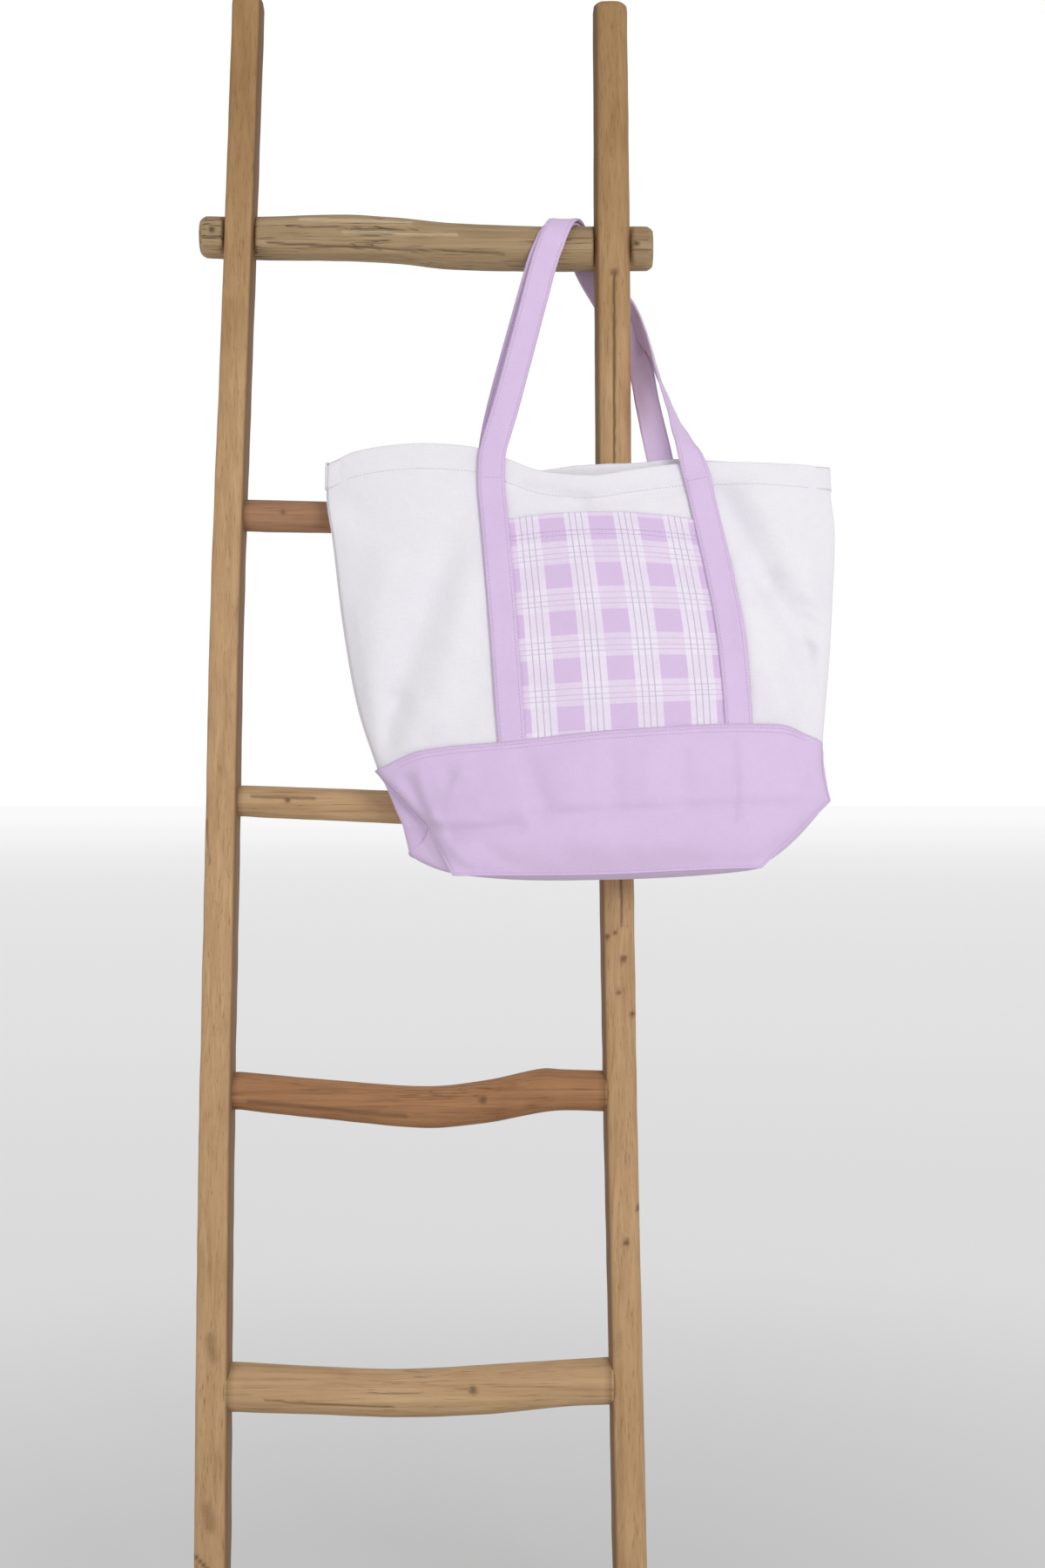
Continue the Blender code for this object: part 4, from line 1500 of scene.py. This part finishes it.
    def back_band(self, q: float, w: float) -> Place:
        """Place on the back band, which bulges left of the left side seam.

        Args:
            q: Share of the width from the left seam.
            w: 0 at the seam, 1 on the belt line, 2 on the bottom fold.

        Returns:
            Across, reach and height.
        """
        turn = math.cos(math.pi * q)
        share = 0.5 - 0.5 * math.copysign(abs(turn) ** 0.6, turn)
        around = abs(math.sin(math.pi * q)) ** 0.6
        start_x, start_reach, start_z = self.front_band(0.0, min(w, 1.0))
        end_x, end_reach, end_z = self.front_band(1.0, w)
        x, z = mix(start_x, end_x, share), mix(start_z, end_z, share)
        if w <= 1.0:
            z = mix(z, self.bag.seam.at(share), 1.0 - w)
        below = clamp(w - 1.0)
        sag = self.left_swell.at(min(w, 1.0))
        corner = math.exp(-(((q - self.swell_q) / self.swell_width) ** 2))
        corner -= math.exp(-((self.swell_q / self.swell_width) ** 2)) * math.exp(-((q / 0.02) ** 2))
        x -= sag * corner * (1.0 - 0.25 * below)
        left_drop, right_drop = self.belt_z.at(0.0) - self.back_fold_z[0], end_z - self.back_fold_z[1]
        z -= below * math.sqrt(around) * mix(left_drop, right_drop, share)
        back = mix(start_reach, end_reach, share)
        flat = mix(self.bag.back_reach - self.bag.cloth - self.back_lap, 0.012, below)
        reach = mix(back, flat, around)
        return x, reach - 0.6 * MM * ripple(x, 2.0, z, 0.03, 6.1) * around, z

    def bottom(self, front: Place, back: Place, r: float) -> Place:
        """Place on the bottom between matching places of the front and back folds.

        Args:
            front: Place on the front edge.
            back: Place on the back edge.
            r: 0 at the front edge, 1 at the back edge.

        Returns:
            Across, reach and height.
        """
        x, reach, z = (mix(a, b, r) for a, b in zip(front, back))
        wide = abs(front[1] - back[1])
        return x, reach, z - 0.13 * wide * math.sin(math.pi * r) ** 0.7


@dataclass(frozen=True)
class PocketShape:
    """Patch pocket that fills the front between the two front straps."""

    bag: BagShape
    left_line: Profile
    right_line: Profile
    tuck: float = 5.0 * MM
    strap_half: float = 14.2 * MM
    top_z: float = 1.1850
    top_drop: float = 0.0085
    bottom_z: tuple[float, float] = (0.9440, 0.9560)
    stand: float = 1.6 * MM
    flat: tuple[float, float] = (0.1950, 0.2350)
    hem_share: float = 0.08
    turned_share: float = 0.11
    hem_drop: float = 0.09
    hem_start: float = 0.004
    hem_gap: float = 1.2 * MM
    hem_row: float = 0.085
    folds: tuple[Fold, ...] = (
        Fold((0.030, 1.165), (0.120, 1.150), 0.020, 1.6 * MM),
        Fold((0.060, 1.120), (0.070, 1.000), 0.035, 1.5 * MM),
        Fold((0.160, 1.140), (0.185, 1.060), 0.016, -1.2 * MM),
        Fold((0.010, 1.080), (0.020, 0.990), 0.016, -1.2 * MM),
    )

    def place(self, t: float, s: float) -> Place:
        """Place on the pocket at a share across and a share down.

        Args:
            t: Share from the left strap's edge to the right strap's edge.
            s: Share down from the top edge; a little above 1 goes under the base.

        Returns:
            Across, reach and height.
        """
        top = self.top_z - self.top_drop * (2.0 * t - 1.0) ** 2
        z = mix(top, mix(*self.bottom_z, t), s)
        left = self.left_line.at(z) + self.strap_half - self.tuck
        right = self.right_line.at(z) - self.strap_half + self.tuck
        x = mix(left, right, t)
        mouth = 2.2 * MM * math.exp(-((s / 0.05) ** 2)) * lens(t, 4.0)
        calm = ease(t, 0.0, 0.12) * ease(1.0 - t, 0.0, 0.12)
        lift = relief(self.folds, x, z) * calm + 0.5 * MM * calm * ripple(x, 3.0, z, 0.025, 5.5)
        return x, self.bag.front_reach_at(x, z) + self.stand + mouth + max(lift, -0.9 * MM), z

    def surface(self, t: float, v: float) -> Vector:
        """Point on the strip of cloth, whose first rows are the hem turned in behind the top edge.

        Args:
            t: Share from left to right.
            v: Share from the hem's inner end, over the top edge, down to the base.

        Returns:
            The point.
        """
        hem, turned, gap = self.hem_share, self.turned_share, self.hem_gap
        if v < hem:
            x, reach, z = self.place(t, self.hem_drop * (1.0 - v / hem) + self.hem_start)
            return self.bag.plane.point(x, reach - 1.9 * gap, z)
        if v < turned:
            angle = math.pi * (v - hem) / (turned - hem)
            x, reach, z = self.place(t, self.hem_start)
            return self.bag.plane.point(x, reach - gap * (1.0 + math.cos(angle)), z + gap * math.sin(angle))
        s = mix(self.hem_start, 1.0, (v - turned) / (1.0 - turned))
        x, reach, z = self.place(t, s)
        groove = 0.2 * MM * math.exp(-(((s - self.hem_row) / 0.008) ** 2))
        return self.bag.plane.point(x, reach - groove, z)


@dataclass
class Bag:
    """White panels, lilac base, plaid pocket and their seams."""

    plane: LeaningPlane
    finishes: FinishBox
    shape: BagShape
    base: BaseShape
    pocket: PocketShape
    panel_thickness: float = 1.3 * MM
    base_thickness: float = 1.8 * MM
    pocket_thickness: float = 1.0 * MM
    panel_drop: float = 0.29
    hem_drop: float = 0.0245
    hem_gap: float = 1.5 * MM
    hem_turn: float = 1.2 * MM
    hem_row: float = 0.086
    seam_ridge: float = 1.3 * MM
    pieces: list[bpy.types.Object] = field(default_factory=list)

    def settle(self, piece: bpy.types.Object, nodes: Sequence[str]) -> bpy.types.Object:
        """Hang a finished piece on the bag's body.

        Args:
            piece: The piece.
            nodes: CAD nodes that it stands for.

        Returns:
            The same piece.
        """
        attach(piece, "bag")
        if nodes:
            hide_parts(*nodes)
        self.pieces.append(piece)
        return piece

    def panel_surface(self, face: Band, behind: float) -> Surface:
        """Surface of a panel with its hem turned in at the rim.

        Args:
            face: Outer face of the panel at (q, s).
            behind: 1 where the hem lies behind the face towards the ladder, -1 where it lies in front.

        Returns:
            The point at (t, row share).
        """
        hem_end, turn_end = 0.07, 0.10
        top = self.hem_turn / self.panel_drop

        def surface(t: float, v: float) -> Vector:
            """Point at a share across and a share down the whole strip of cloth."""
            q = 0.5 - 0.5 * math.cos(math.pi * t) * (1.0 - 0.25 * math.sin(math.pi * t) ** 2)
            gap = self.hem_gap * ease(min(q, 1.0 - q), 0.0, 0.06)
            if v < hem_end:
                drop = self.hem_drop * (1.0 - v / hem_end)
                x, reach, z = face(q, (drop + self.hem_turn) / self.panel_drop)
                return self.plane.point(x, reach - behind * 2.0 * gap, z)
            if v < turn_end:
                angle = math.pi * (v - hem_end) / (turn_end - hem_end)
                x, reach, z = face(q, top)
                step = gap * (1.0 + math.cos(angle))
                return self.plane.point(x, reach - behind * step, z + gap * math.sin(angle))
            tucked = 1.0 + 0.03 * lens(q, 4.0) * ease(min(q, 1.0 - q), 0.0, 0.1)
            s = mix(top, tucked, (v - turn_end) / (1.0 - turn_end))
            x, reach, z = face(q, s)
            groove = 0.18 * MM * math.exp(-(((s - self.hem_row) / 0.006) ** 2))
            return self.plane.point(x, reach - behind * groove, z)

        return surface

    def build_panels(self) -> None:
        """Build the front and back panels with turned hems."""
        front = sheet_mesh(150, 112, (0.49, 0.33), self.panel_surface(self.shape.front, 1.0))
        white = self.finishes["white_canvas"]
        piece = give_thickness(add_piece("front_panel_cloth", front, white), self.panel_thickness)
        self.settle(piece, ("front_panel",))
        back = sheet_mesh(140, 80, (0.52, 0.33), self.panel_surface(self.shape.back, -1.0))
        bmesh.ops.reverse_faces(back, faces=back.faces)
        piece = give_thickness(add_piece("back_panel_cloth", back, white), self.panel_thickness)
        self.settle(piece, ("back_panel",))

    def build_base(self) -> None:
        """Build the base from its bands and its bottom."""
        columns, upper, lower, deep = 120, 22, 20, 26
        front, back = (
            sheet_mesh(columns, upper + lower, (0.45, 0.155), self.banded(band, upper, lower))
            for band in (self.base.front_band, self.base.back_band)
        )
        bmesh.ops.reverse_faces(back, faces=back.faces)
        front_line = self.outline(self.base.front_band, columns, lower)
        back_line = self.outline(self.base.back_band, columns, lower)
        last = len(front_line) - 1

        def under(t: float, r: float) -> Vector:
            """Point of the bottom at a share along its outline and a share back."""
            k = round(t * last)
            return self.plane.point(*self.base.bottom(front_line[k], back_line[k], r))

        bottom = sheet_mesh(last, deep, (0.50, 0.09), under)
        whole = bmesh.new()
        for part in (front, back, bottom):
            mesh = bpy.data.meshes.new("part")
            part.to_mesh(mesh)
            part.free()
            whole.from_mesh(mesh)
            bpy.data.meshes.remove(mesh)
        bmesh.ops.remove_doubles(whole, verts=whole.verts, dist=0.05 * MM)
        bmesh.ops.dissolve_degenerate(whole, edges=whole.edges, dist=0.01 * MM)
        bmesh.ops.recalc_face_normals(whole, faces=whole.faces)
        cloth = add_piece("base_cloth", whole, self.finishes["lilac_canvas"])
        piece = give_thickness(cloth, self.base_thickness)
        self.settle(piece, ("base_wrap",))

    def banded(self, band: Band, upper: int, lower: int) -> Surface:
        """Surface of a band from the seam to the bottom fold.

        Args:
            band: Place on the band at (q, w).
            upper: Rows above the belt line.
            lower: Rows below it.

        Returns:
            The point at (t, row share).
        """
        def surface(t: float, v: float) -> Vector:
            """Point at a share across and a share down."""
            row = v * (upper + lower)
            w = row / upper if row <= upper else 1.0 + (row - upper) / lower
            return self.plane.point(*band(t, w))

        return surface

    def outline(self, band: Band, columns: int, lower: int) -> list[Place]:
        """Edge of a band below the belt line, from the left corner round to the right one.

        Args:
            band: Place on the band at (q, w).
            columns: Faces along the bottom fold.
            lower: Faces along each end.

        Returns:
            The places, one for each column of the bottom.
        """
        left = [band(0.0, 1.0 + k / lower) for k in range(lower)]
        fold = [band(k / columns, 2.0) for k in range(columns + 1)]
        right = [band(1.0, 2.0 - k / lower) for k in range(1, lower + 1)]
        return left + fold + right

    def build(self) -> None:
        """Build every piece of the bag but its straps."""
        self.build_panels()
        self.build_base()
        self.build_seams()
        self.build_pocket()
        self.sew()

    def build_seams(self) -> None:
        """Build the ridges of the base's sewn edges: its side seams, boxed corners and bottom folds."""
        band, back = self.base.front_band, self.base.back_band
        steps = [k / 60 for k in range(61)]
        front_line = [band(0.0, 2.0 * k) for k in steps[3:]] + [band(k, 2.0) for k in steps[1:]]
        front_line += [band(1.0, 2.0 - 2.0 * k) for k in steps[1:-3]]
        back_line = [back(k, 2.0) for k in steps]
        for name, line in (("front_seam_ridge", front_line), ("back_seam_ridge", back_line)):
            points = [self.plane.point(*place) for place in line]
            piece = add_piece(name, piping_mesh(points, self.seam_ridge), self.finishes["lilac_canvas"])
            self.settle(piece, ())

    def build_pocket(self) -> None:
        """Build the plaid pocket."""
        width, length = self.pocket.flat
        size = (width, length / (1.0 - self.pocket.turned_share))
        bm = sheet_mesh(70, 90, size, self.pocket.surface)
        cloth = add_piece("pocket_cloth", bm, self.finishes["plaid_canvas"])
        piece = give_thickness(cloth, self.pocket_thickness)
        self.settle(piece, ("pocket",))

    def sew(self) -> None:
        """Sew the hems, the base seam and the pocket's top."""
        white, lilac = bmesh.new(), bmesh.new()
        steps = [k / 180 for k in range(181)]
        inner = [k / 180 for k in range(8, 173)]
        for face in (self.shape.front, self.shape.back):
            STITCH.sew(white, [self.plane.point(*face(q, self.hem_row)) for q in inner])
        for w in (0.05, 0.10):
            for band in (self.base.front_band, self.base.back_band):
                STITCH.sew(lilac, [self.plane.point(*band(q, w)) for q in inner])
        for s in (0.080, 0.100):
            STITCH.sew(lilac, [self.plane.point(*self.pocket.place(t, s)) for t in steps])
        self.settle(add_piece("panel_stitches", white, self.finishes["white_thread"]), ())
        self.settle(add_piece("base_stitches", lilac, self.finishes["lilac_thread"]), ())


# ---------------------------------------------------------------- straps


@dataclass(frozen=True)
class Station:
    """One place of a strap's centre line with the direction that its face looks in."""

    x: float
    reach: float
    z: float
    facing: Place


@dataclass
class StrapLoop:
    """Folded canvas strap: sewn up one side, over the rung as a handle and sewn down again."""

    name: str
    nodes: tuple[str, str, str]
    plane: LeaningPlane
    finishes: FinishBox
    surface: Callable[[float, float], float]
    outward: float
    left_line: Profile
    right_line: Profile
    ends: tuple[float, float]
    handle: tuple[Station, ...]
    widths: tuple[float, float] = (28.3 * MM, 27.8 * MM)
    thickness: float = STRAP_THICKNESS
    stand: float = STRAP_STAND
    sewn_top: float = 1.2165
    free_zone: tuple[float, float] = (-0.004, 0.036)
    stitch_rows: tuple[float, float] = (0.115, 0.885)
    bar_ends: tuple[float, float] = (0.12, 0.88)
    step: float = 2.6 * MM
    columns: int = 10
    tucked_z: float = 0.950
    bar_rise: float = 0.004
    pieces: list[bpy.types.Object] = field(default_factory=list)

    def stations(self) -> list[Station]:
        """Centre line from the left seam over the rung to the right seam."""
        middle = self.outward * (self.stand + self.thickness / 2)

        def sewn(line: Profile, low: float, facing: Place) -> list[Station]:
            """Stations of a sewn length from its low end to its top."""
            heights = [mix(low, self.sewn_top, k / 8) for k in range(9)]
            return [Station(line.at(z), self.surface(line.at(z), z) + middle, z, facing) for z in heights]

        left = sewn(self.left_line, self.ends[0], self.handle[0].facing)
        right = sewn(self.right_line, self.ends[1], self.handle[-1].facing)
        return left + list(self.handle) + right[::-1]

    def samples(self) -> list[tuple[Vector, Vector]]:
        """Even points of the centre line with unit facing directions."""
        stations = self.stations()
        points = [Vector((s.x, s.reach, s.z)) for s in stations]
        facings = [Vector(s.facing).normalized() for s in stations]
        last = len(points) - 1
        fine: list[tuple[Vector, Vector]] = []
        for i in range(last):
            steps = max(1, round((points[i + 1] - points[i]).length / self.step))
            around = [points[clamp_index(j, last)] for j in (i - 1, i, i + 1, i + 2)]
            for k in range(steps):
                facing = facings[i].lerp(facings[i + 1], k / steps).normalized()
                fine.append((catmull(around, k / steps), facing))
        fine.append((points[last], facings[last]))
        return fine

    def build(self) -> None:
        """Build the strap from the bag over the rung and back, with its stitches."""
        samples = self.samples()
        last = len(samples) - 1
        run = [0.0]
        for (before, _), (here, _) in zip(samples, samples[1:]):
            run.append(run[-1] + (here - before).length)
        frames = [self.section(samples, k) for k in range(last + 1)]

        def surface(t: float, v: float) -> Vector:
            """Point at a share across the strap and a share along it."""
            k = round(v * last)
            return self.across(samples[k][0], frames[k], t, run[k])

        bm = sheet_mesh(self.columns, last, (self.widths[0], run[-1]), surface)
        piece = give_thickness(add_piece(self.name, bm, self.finishes["lilac_canvas"]), self.thickness)
        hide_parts(*self.nodes)
        self.hang(piece)
        LOG.info("%s is %.3f m long", self.name, run[-1])
        self.sew_edges(samples, frames, run)

    def section(self, samples: list[tuple[Vector, Vector]], k: int) -> tuple[Vector, Vector]:
        """Directions of the strap at a sample, in across, reach and height.

        Args:
            samples: Centre line.
            k: Number of the sample.

        Returns:
            The direction across the strap and the direction out of its face.
        """
        ahead = samples[min(k + 2, len(samples) - 1)][0]
        behind = samples[max(k - 2, 0)][0]
        tangent = (ahead - behind).normalized()
        _, facing = samples[k]
        looking = Vector((facing.x, -facing.y, facing.z))
        across = tangent.cross(looking).normalized()
        return across, across.cross(tangent).normalized()

    def across(self, centre: Vector, axes: tuple[Vector, Vector], t: float, run: float) -> Vector:
        """Point of the strap, which lies on the cloth where it is sewn and is free above.

        Args:
            centre: Point of the centre line.
            axes: Directions across the strap and out of its face.
            t: Share from one edge to the other.
            run: Length of strap up to here.

        Returns:
            The point.
        """
        side, out = axes
        start, end = (self.sewn_top + offset for offset in self.free_zone)
        free_share = ease(centre.z, start, end)
        width = mix(self.widths[0], self.widths[1], free_share)
        offset = (t - 0.5) * width
        edge = abs(2.0 * t - 1.0)
        puff = 0.35 * MM * (1.0 - edge**4) + 0.30 * MM * math.exp(-(((edge - 0.60) / 0.16) ** 2))
        puff += 0.6 * MM * ripple(t * 0.6, 0.0, run * 70.0, 1.0, self.stand * 900)
        skin = self.thickness / 2 + puff
        free = centre + side * offset + out * skin
        if free_share < 1.0:
            x, z = centre.x + side.x * offset, centre.z + side.z * offset
            under = ease(z, self.tucked_z + 0.030, self.tucked_z + 0.012)
            stand = mix(self.stand, self.stand - 0.9 * MM, under)
            middle = self.surface(x, z) + self.outward * (stand + self.thickness / 2)
            free = Vector((x, middle + math.copysign(skin, out.y), z)).lerp(free, free_share)
        return self.plane.point(free.x, free.y, free.z)

    def sew_edges(
        self, samples: list[tuple[Vector, Vector]], frames: list[tuple[Vector, Vector]], run: list[float]
    ) -> None:
        """Sew both edges of the strap down its whole length, and a bar across it at each rim.

        Args:
            samples: Centre line.
            frames: Across and outward directions at each sample.
            run: Length of strap up to each sample.
        """
        bm = bmesh.new()
        for t in self.stitch_rows:
            line = [self.across(point, axes, t, at) for (point, _), axes, at in zip(samples, frames, run)]
            STITCH.sew(bm, line)
        shares = [mix(*self.bar_ends, k / 12) for k in range(13)]
        for left_side in (True, False):
            sewn = [k for k, (point, _) in enumerate(samples) if (k < len(samples) / 2) == left_side]
            k = min(sewn, key=lambda index: abs(samples[index][0].z - self.sewn_top - self.bar_rise))
            STITCH.sew(bm, [self.across(samples[k][0], frames[k], t, run[k]) for t in shares])
        piece = add_piece(self.name + "_stitches", bm, self.finishes["lilac_thread"])
        self.hang(piece)

    def hang(self, piece: bpy.types.Object) -> None:
        """Bake a piece's transform and keep it with the strap's pieces."""
        start, end = (self.plane.point(0.0, 0.02, HINGE_Z + offset) for offset in (0.012, -0.014))
        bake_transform(piece)
        self.pieces.append(piece)


def catmull(points: Sequence[Vector], f: float) -> Vector:
    """Point on a smooth curve between the middle two of four points.

    Args:
        points: The four points.
        f: Share of the way from the second to the third.

    Returns:
        The point.
    """
    a, b, c, d = points
    bend = (2 * a - 5 * b + 4 * c - d) * f**2 + (3 * b - a - 3 * c + d) * f**3
    return 0.5 * (2 * b + (c - a) * f + bend)


def wrapped(radius: float, x_front: float, x_back: float) -> list[Station]:
    """Stations over the top rung from its front to its back.

    Args:
        radius: Distance from the rung's middle.
        x_front: Place across where the strap meets the rung.
        x_back: Place across where it leaves the rung.

    Returns:
        The stations.
    """
    stations = []
    for k in range(9):
        angle = math.radians(22.5 * k)
        x = mix(x_front, x_back, k / 8)
        forward, up = math.cos(angle), math.sin(angle)
        reach, z = TOP_RUNG_REACH + radius * forward, TOP_RUNG_Z + radius * up
        stations.append(Station(x, reach, z, (0.0, -forward, up)))
    return stations


def front_handle(rim_left: float, rim_right: float) -> tuple[Station, ...]:
    """Free length of the front loop.

    Args:
        rim_left: Reach where it leaves the left sewn strap.
        rim_right: Reach where it meets the right sewn strap.

    Returns:
        Its stations.
    """
    return (
        Station(-0.0305, rim_left, 1.250, (0.05, -1.0, 0.0)),
        Station(-0.0165, rim_left * 0.85 + 0.0004, 1.300, (0.27, -0.96, 0.0)),
        Station(0.0053, rim_left * 0.45 + 0.0016, 1.385, (0.30, -0.95, 0.0)),
        Station(0.0222, 0.0048, 1.452, (0.15, -0.99, 0.0)),
        *wrapped(0.0308, 0.0305, 0.0650),
        Station(0.0818, -0.0580, 1.454, (0.0, 1.0, 0.0)),
        Station(0.0945, -0.0590, 1.438, (0.30, 0.95, 0.0)),
        Station(0.1070, -0.0585, 1.423, (0.75, 0.66, 0.0)),
        Station(0.1190, -0.0555, 1.408, (0.94, 0.33, 0.0)),
        Station(0.1324, -0.0410, 1.3767, (0.99, 0.04, 0.0)),
        Station(0.1411, -0.0250, 1.3467, (0.98, -0.18, 0.0)),
        Station(0.1480, -0.0120, 1.3230, (0.94, -0.34, 0.0)),
        Station(0.1592, 0.0080, 1.2858, (0.86, -0.51, 0.0)),
        Station(0.1658, (0.0080 + rim_right) / 2 - 0.0010, 1.2670, (0.71, -0.70, 0.0)),
        Station(0.1720, rim_right - 0.0015, 1.2498, (0.52, -0.85, 0.0)),
        Station(0.1785, rim_right, 1.2290, (0.15, -0.99, 0.0)),
    )


def back_handle(edge: float) -> tuple[Station, ...]:
    """Free length of the back loop.

    Args:
        edge: Reach at the bag's rim.

    Returns:
        Its stations.
    """
    return (
        Station(-0.0325, edge, 1.250, (0.0, -1.0, 0.0)),
        Station(-0.0235, edge, 1.300, (0.05, -1.0, 0.0)),
        Station(-0.0010, edge - 0.0003, 1.385, (0.05, -1.0, 0.0)),
        Station(0.0178, 0.0010, 1.452, (0.0, -1.0, 0.0)),
        *wrapped(0.0259, 0.0270, 0.0630),
        Station(0.0740, -0.0530, 1.452, (0.0, 1.0, 0.0)),
        Station(0.0900, -0.0550, 1.425, (0.0, 1.0, 0.0)),
        Station(0.1055, -0.0590, 1.398, (0.0, 1.0, 0.0)),
        Station(0.1168, -0.0600, 1.374, (0.10, 1.0, 0.0)),
        Station(0.1212, -0.0550, 1.362, (0.20, 1.0, 0.3)),
        Station(0.1272, -0.0420, 1.345, (0.34, 1.0, 0.4)),
        Station(0.1326, -0.0190, 1.304, (0.42, 1.0, 0.4)),
        Station(0.1425, edge - 0.001, 1.250, (0.25, 1.0, 0.2)),
    )


# ---------------------------------------------------------------- studio


@dataclass
class Studio:
    """Pale floor, soft lights, bright surround and camera."""

    eye: Place = (0.0103, -2.258, 0.905)
    lens_mm: float = 50.0
    sensor_mm: float = 36.0
    floor_radius: float = 90.0
    surround: float = 0.69
    seen_white: float = 1.02
    key_power: float = 29.0
    fill_power: float = 5.0

    def lay_floor(self) -> None:
        """Lay the floor as a disc."""
        bm = bmesh.new()
        bmesh.ops.create_circle(bm, cap_ends=True, segments=96, radius=self.floor_radius)
        floor = add_piece("studio_floor", bm, StudioFloor().make())

    def hang_light(self, name: str, place: Vector, aim: Vector, size: float, power: float) -> None:
        """Hang one square soft light.

        Args:
            name: Name of the light.
            place: Where it hangs.
            aim: What it shines at.
            size: Side of the light in metres.
            power: Watts.
        """
        light = bpy.data.lights.new(name, "AREA")
        light.size = size
        light.energy = power
        lamp = bpy.data.objects.new(name, light)
        lamp.location = place
        lamp.rotation_euler = (aim - place).to_track_quat("-Z", "Y").to_euler()
        bpy.context.scene.collection.objects.link(lamp)

    def brighten(self) -> None:
        """White surround: full white where it is seen, softer where it lights."""
        world = bpy.data.worlds.new("studio_surround")
        bpy.context.scene.world = world
        world.use_nodes = True
        tree = world.node_tree
        tree.nodes.clear()
        lit, seen = tree.nodes.new("ShaderNodeBackground"), tree.nodes.new("ShaderNodeBackground")
        lit.inputs["Strength"].default_value = self.surround
        seen.inputs["Strength"].default_value = self.seen_white
        for background in (lit, seen):
            background.inputs["Color"].default_value = (1.0, 1.0, 1.0, 1.0)
        kinds = ("LightPath", "MixShader", "OutputWorld")
        path, choice, output = (tree.nodes.new("ShaderNode" + kind) for kind in kinds)
        tree.links.new(path.outputs["Is Camera Ray"], choice.inputs[0])
        tree.links.new(lit.outputs[0], choice.inputs[1])
        tree.links.new(seen.outputs[0], choice.inputs[2])
        tree.links.new(choice.outputs[0], output.inputs[0])

    def place_camera(self) -> None:
        """Stand the camera level in front of the ladder."""
        camera = bpy.data.cameras.new("camera")
        camera.lens = self.lens_mm
        camera.sensor_fit = "VERTICAL"
        camera.sensor_height = self.sensor_mm
        camera.clip_end = 300.0
        body = bpy.data.objects.new("camera", camera)
        body.location = self.eye
        body.rotation_euler = (math.radians(90.0), 0.0, 0.0)
        bpy.context.scene.collection.objects.link(body)
        bpy.context.scene.camera = body

    def build(self) -> None:
        """Set up the whole studio."""
        bpy.context.scene.view_settings.view_transform = "Standard"
        self.lay_floor()
        self.brighten()
        self.place_camera()
        middle = Vector((0.0, 0.0, 1.05))
        self.hang_light("key_light", Vector((1.3, -2.5, 1.75)), middle, 1.0, self.key_power)
        self.hang_light("fill_light", Vector((-2.2, -1.6, 1.4)), middle, 1.8, self.fill_power)


def main() -> None:
    """Build the model around the frame and report its pieces."""
    logging.basicConfig(level=logging.INFO, format="%(message)s")
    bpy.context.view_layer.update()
    lift = next(joint for joint in frame["joints"] if joint["name"] == "handles_lift")
    plane = LeaningPlane(lean=lift["axis"][1] / lift["axis"][2])
    finishes = FinishBox()
    finishes.mix_all()
    ladder = Ladder(plane, finishes)
    ladder.build()
    shape = BagShape(plane)
    left_line = Profile((
        (0.9400, -0.0100), (0.9515, -0.0109), (1.10, -0.0220), (1.2165, -0.0322), (HINGE_Z, -0.0330),
    ))
    right_line = Profile((
        (0.9500, 0.2180), (0.9660, 0.2172), (1.003, 0.2155), (1.069, 0.2094), (1.136, 0.1983),
        (HINGE_Z, 0.1750),
    ))
    bag = Bag(plane, finishes, shape, BaseShape(shape), PocketShape(shape, left_line, right_line))
    bag.build()
    half = STRAP_STAND + STRAP_THICKNESS / 2
    rim_z, leg_places = 1.245, (-0.0305, 0.1756)
    rims = [shape.front_reach_at(x, rim_z) + half for x in leg_places]
    front = StrapLoop(
        "front_loop", ("front_handle", "front_left_strap", "front_right_strap"), plane, finishes,
        shape.front_reach_at, 1.0, left_line, right_line, (0.9430, 0.9560), front_handle(*rims),
    )
    back = StrapLoop(
        "back_loop", ("back_handle", "back_left_strap", "back_right_strap"), plane, finishes,
        shape.back_reach_at, -1.0, Profile(((0.9540, -0.0100), (1.10, -0.0190), (HINGE_Z, -0.0325))),
        Profile(((0.9660, 0.1850), (1.10, 0.1680), (HINGE_Z, 0.1440))), (0.9430, 0.9560),
        back_handle(shape.back_reach - shape.cloth - half),
    )
    front.build()
    back.build()
    Studio().build()
    for piece in (*ladder.pieces, *bag.pieces, *front.pieces, *back.pieces):
        LOG.info("%s: %d faces", piece.name, len(piece.data.polygons))


if __name__ == "__main__":
    main()
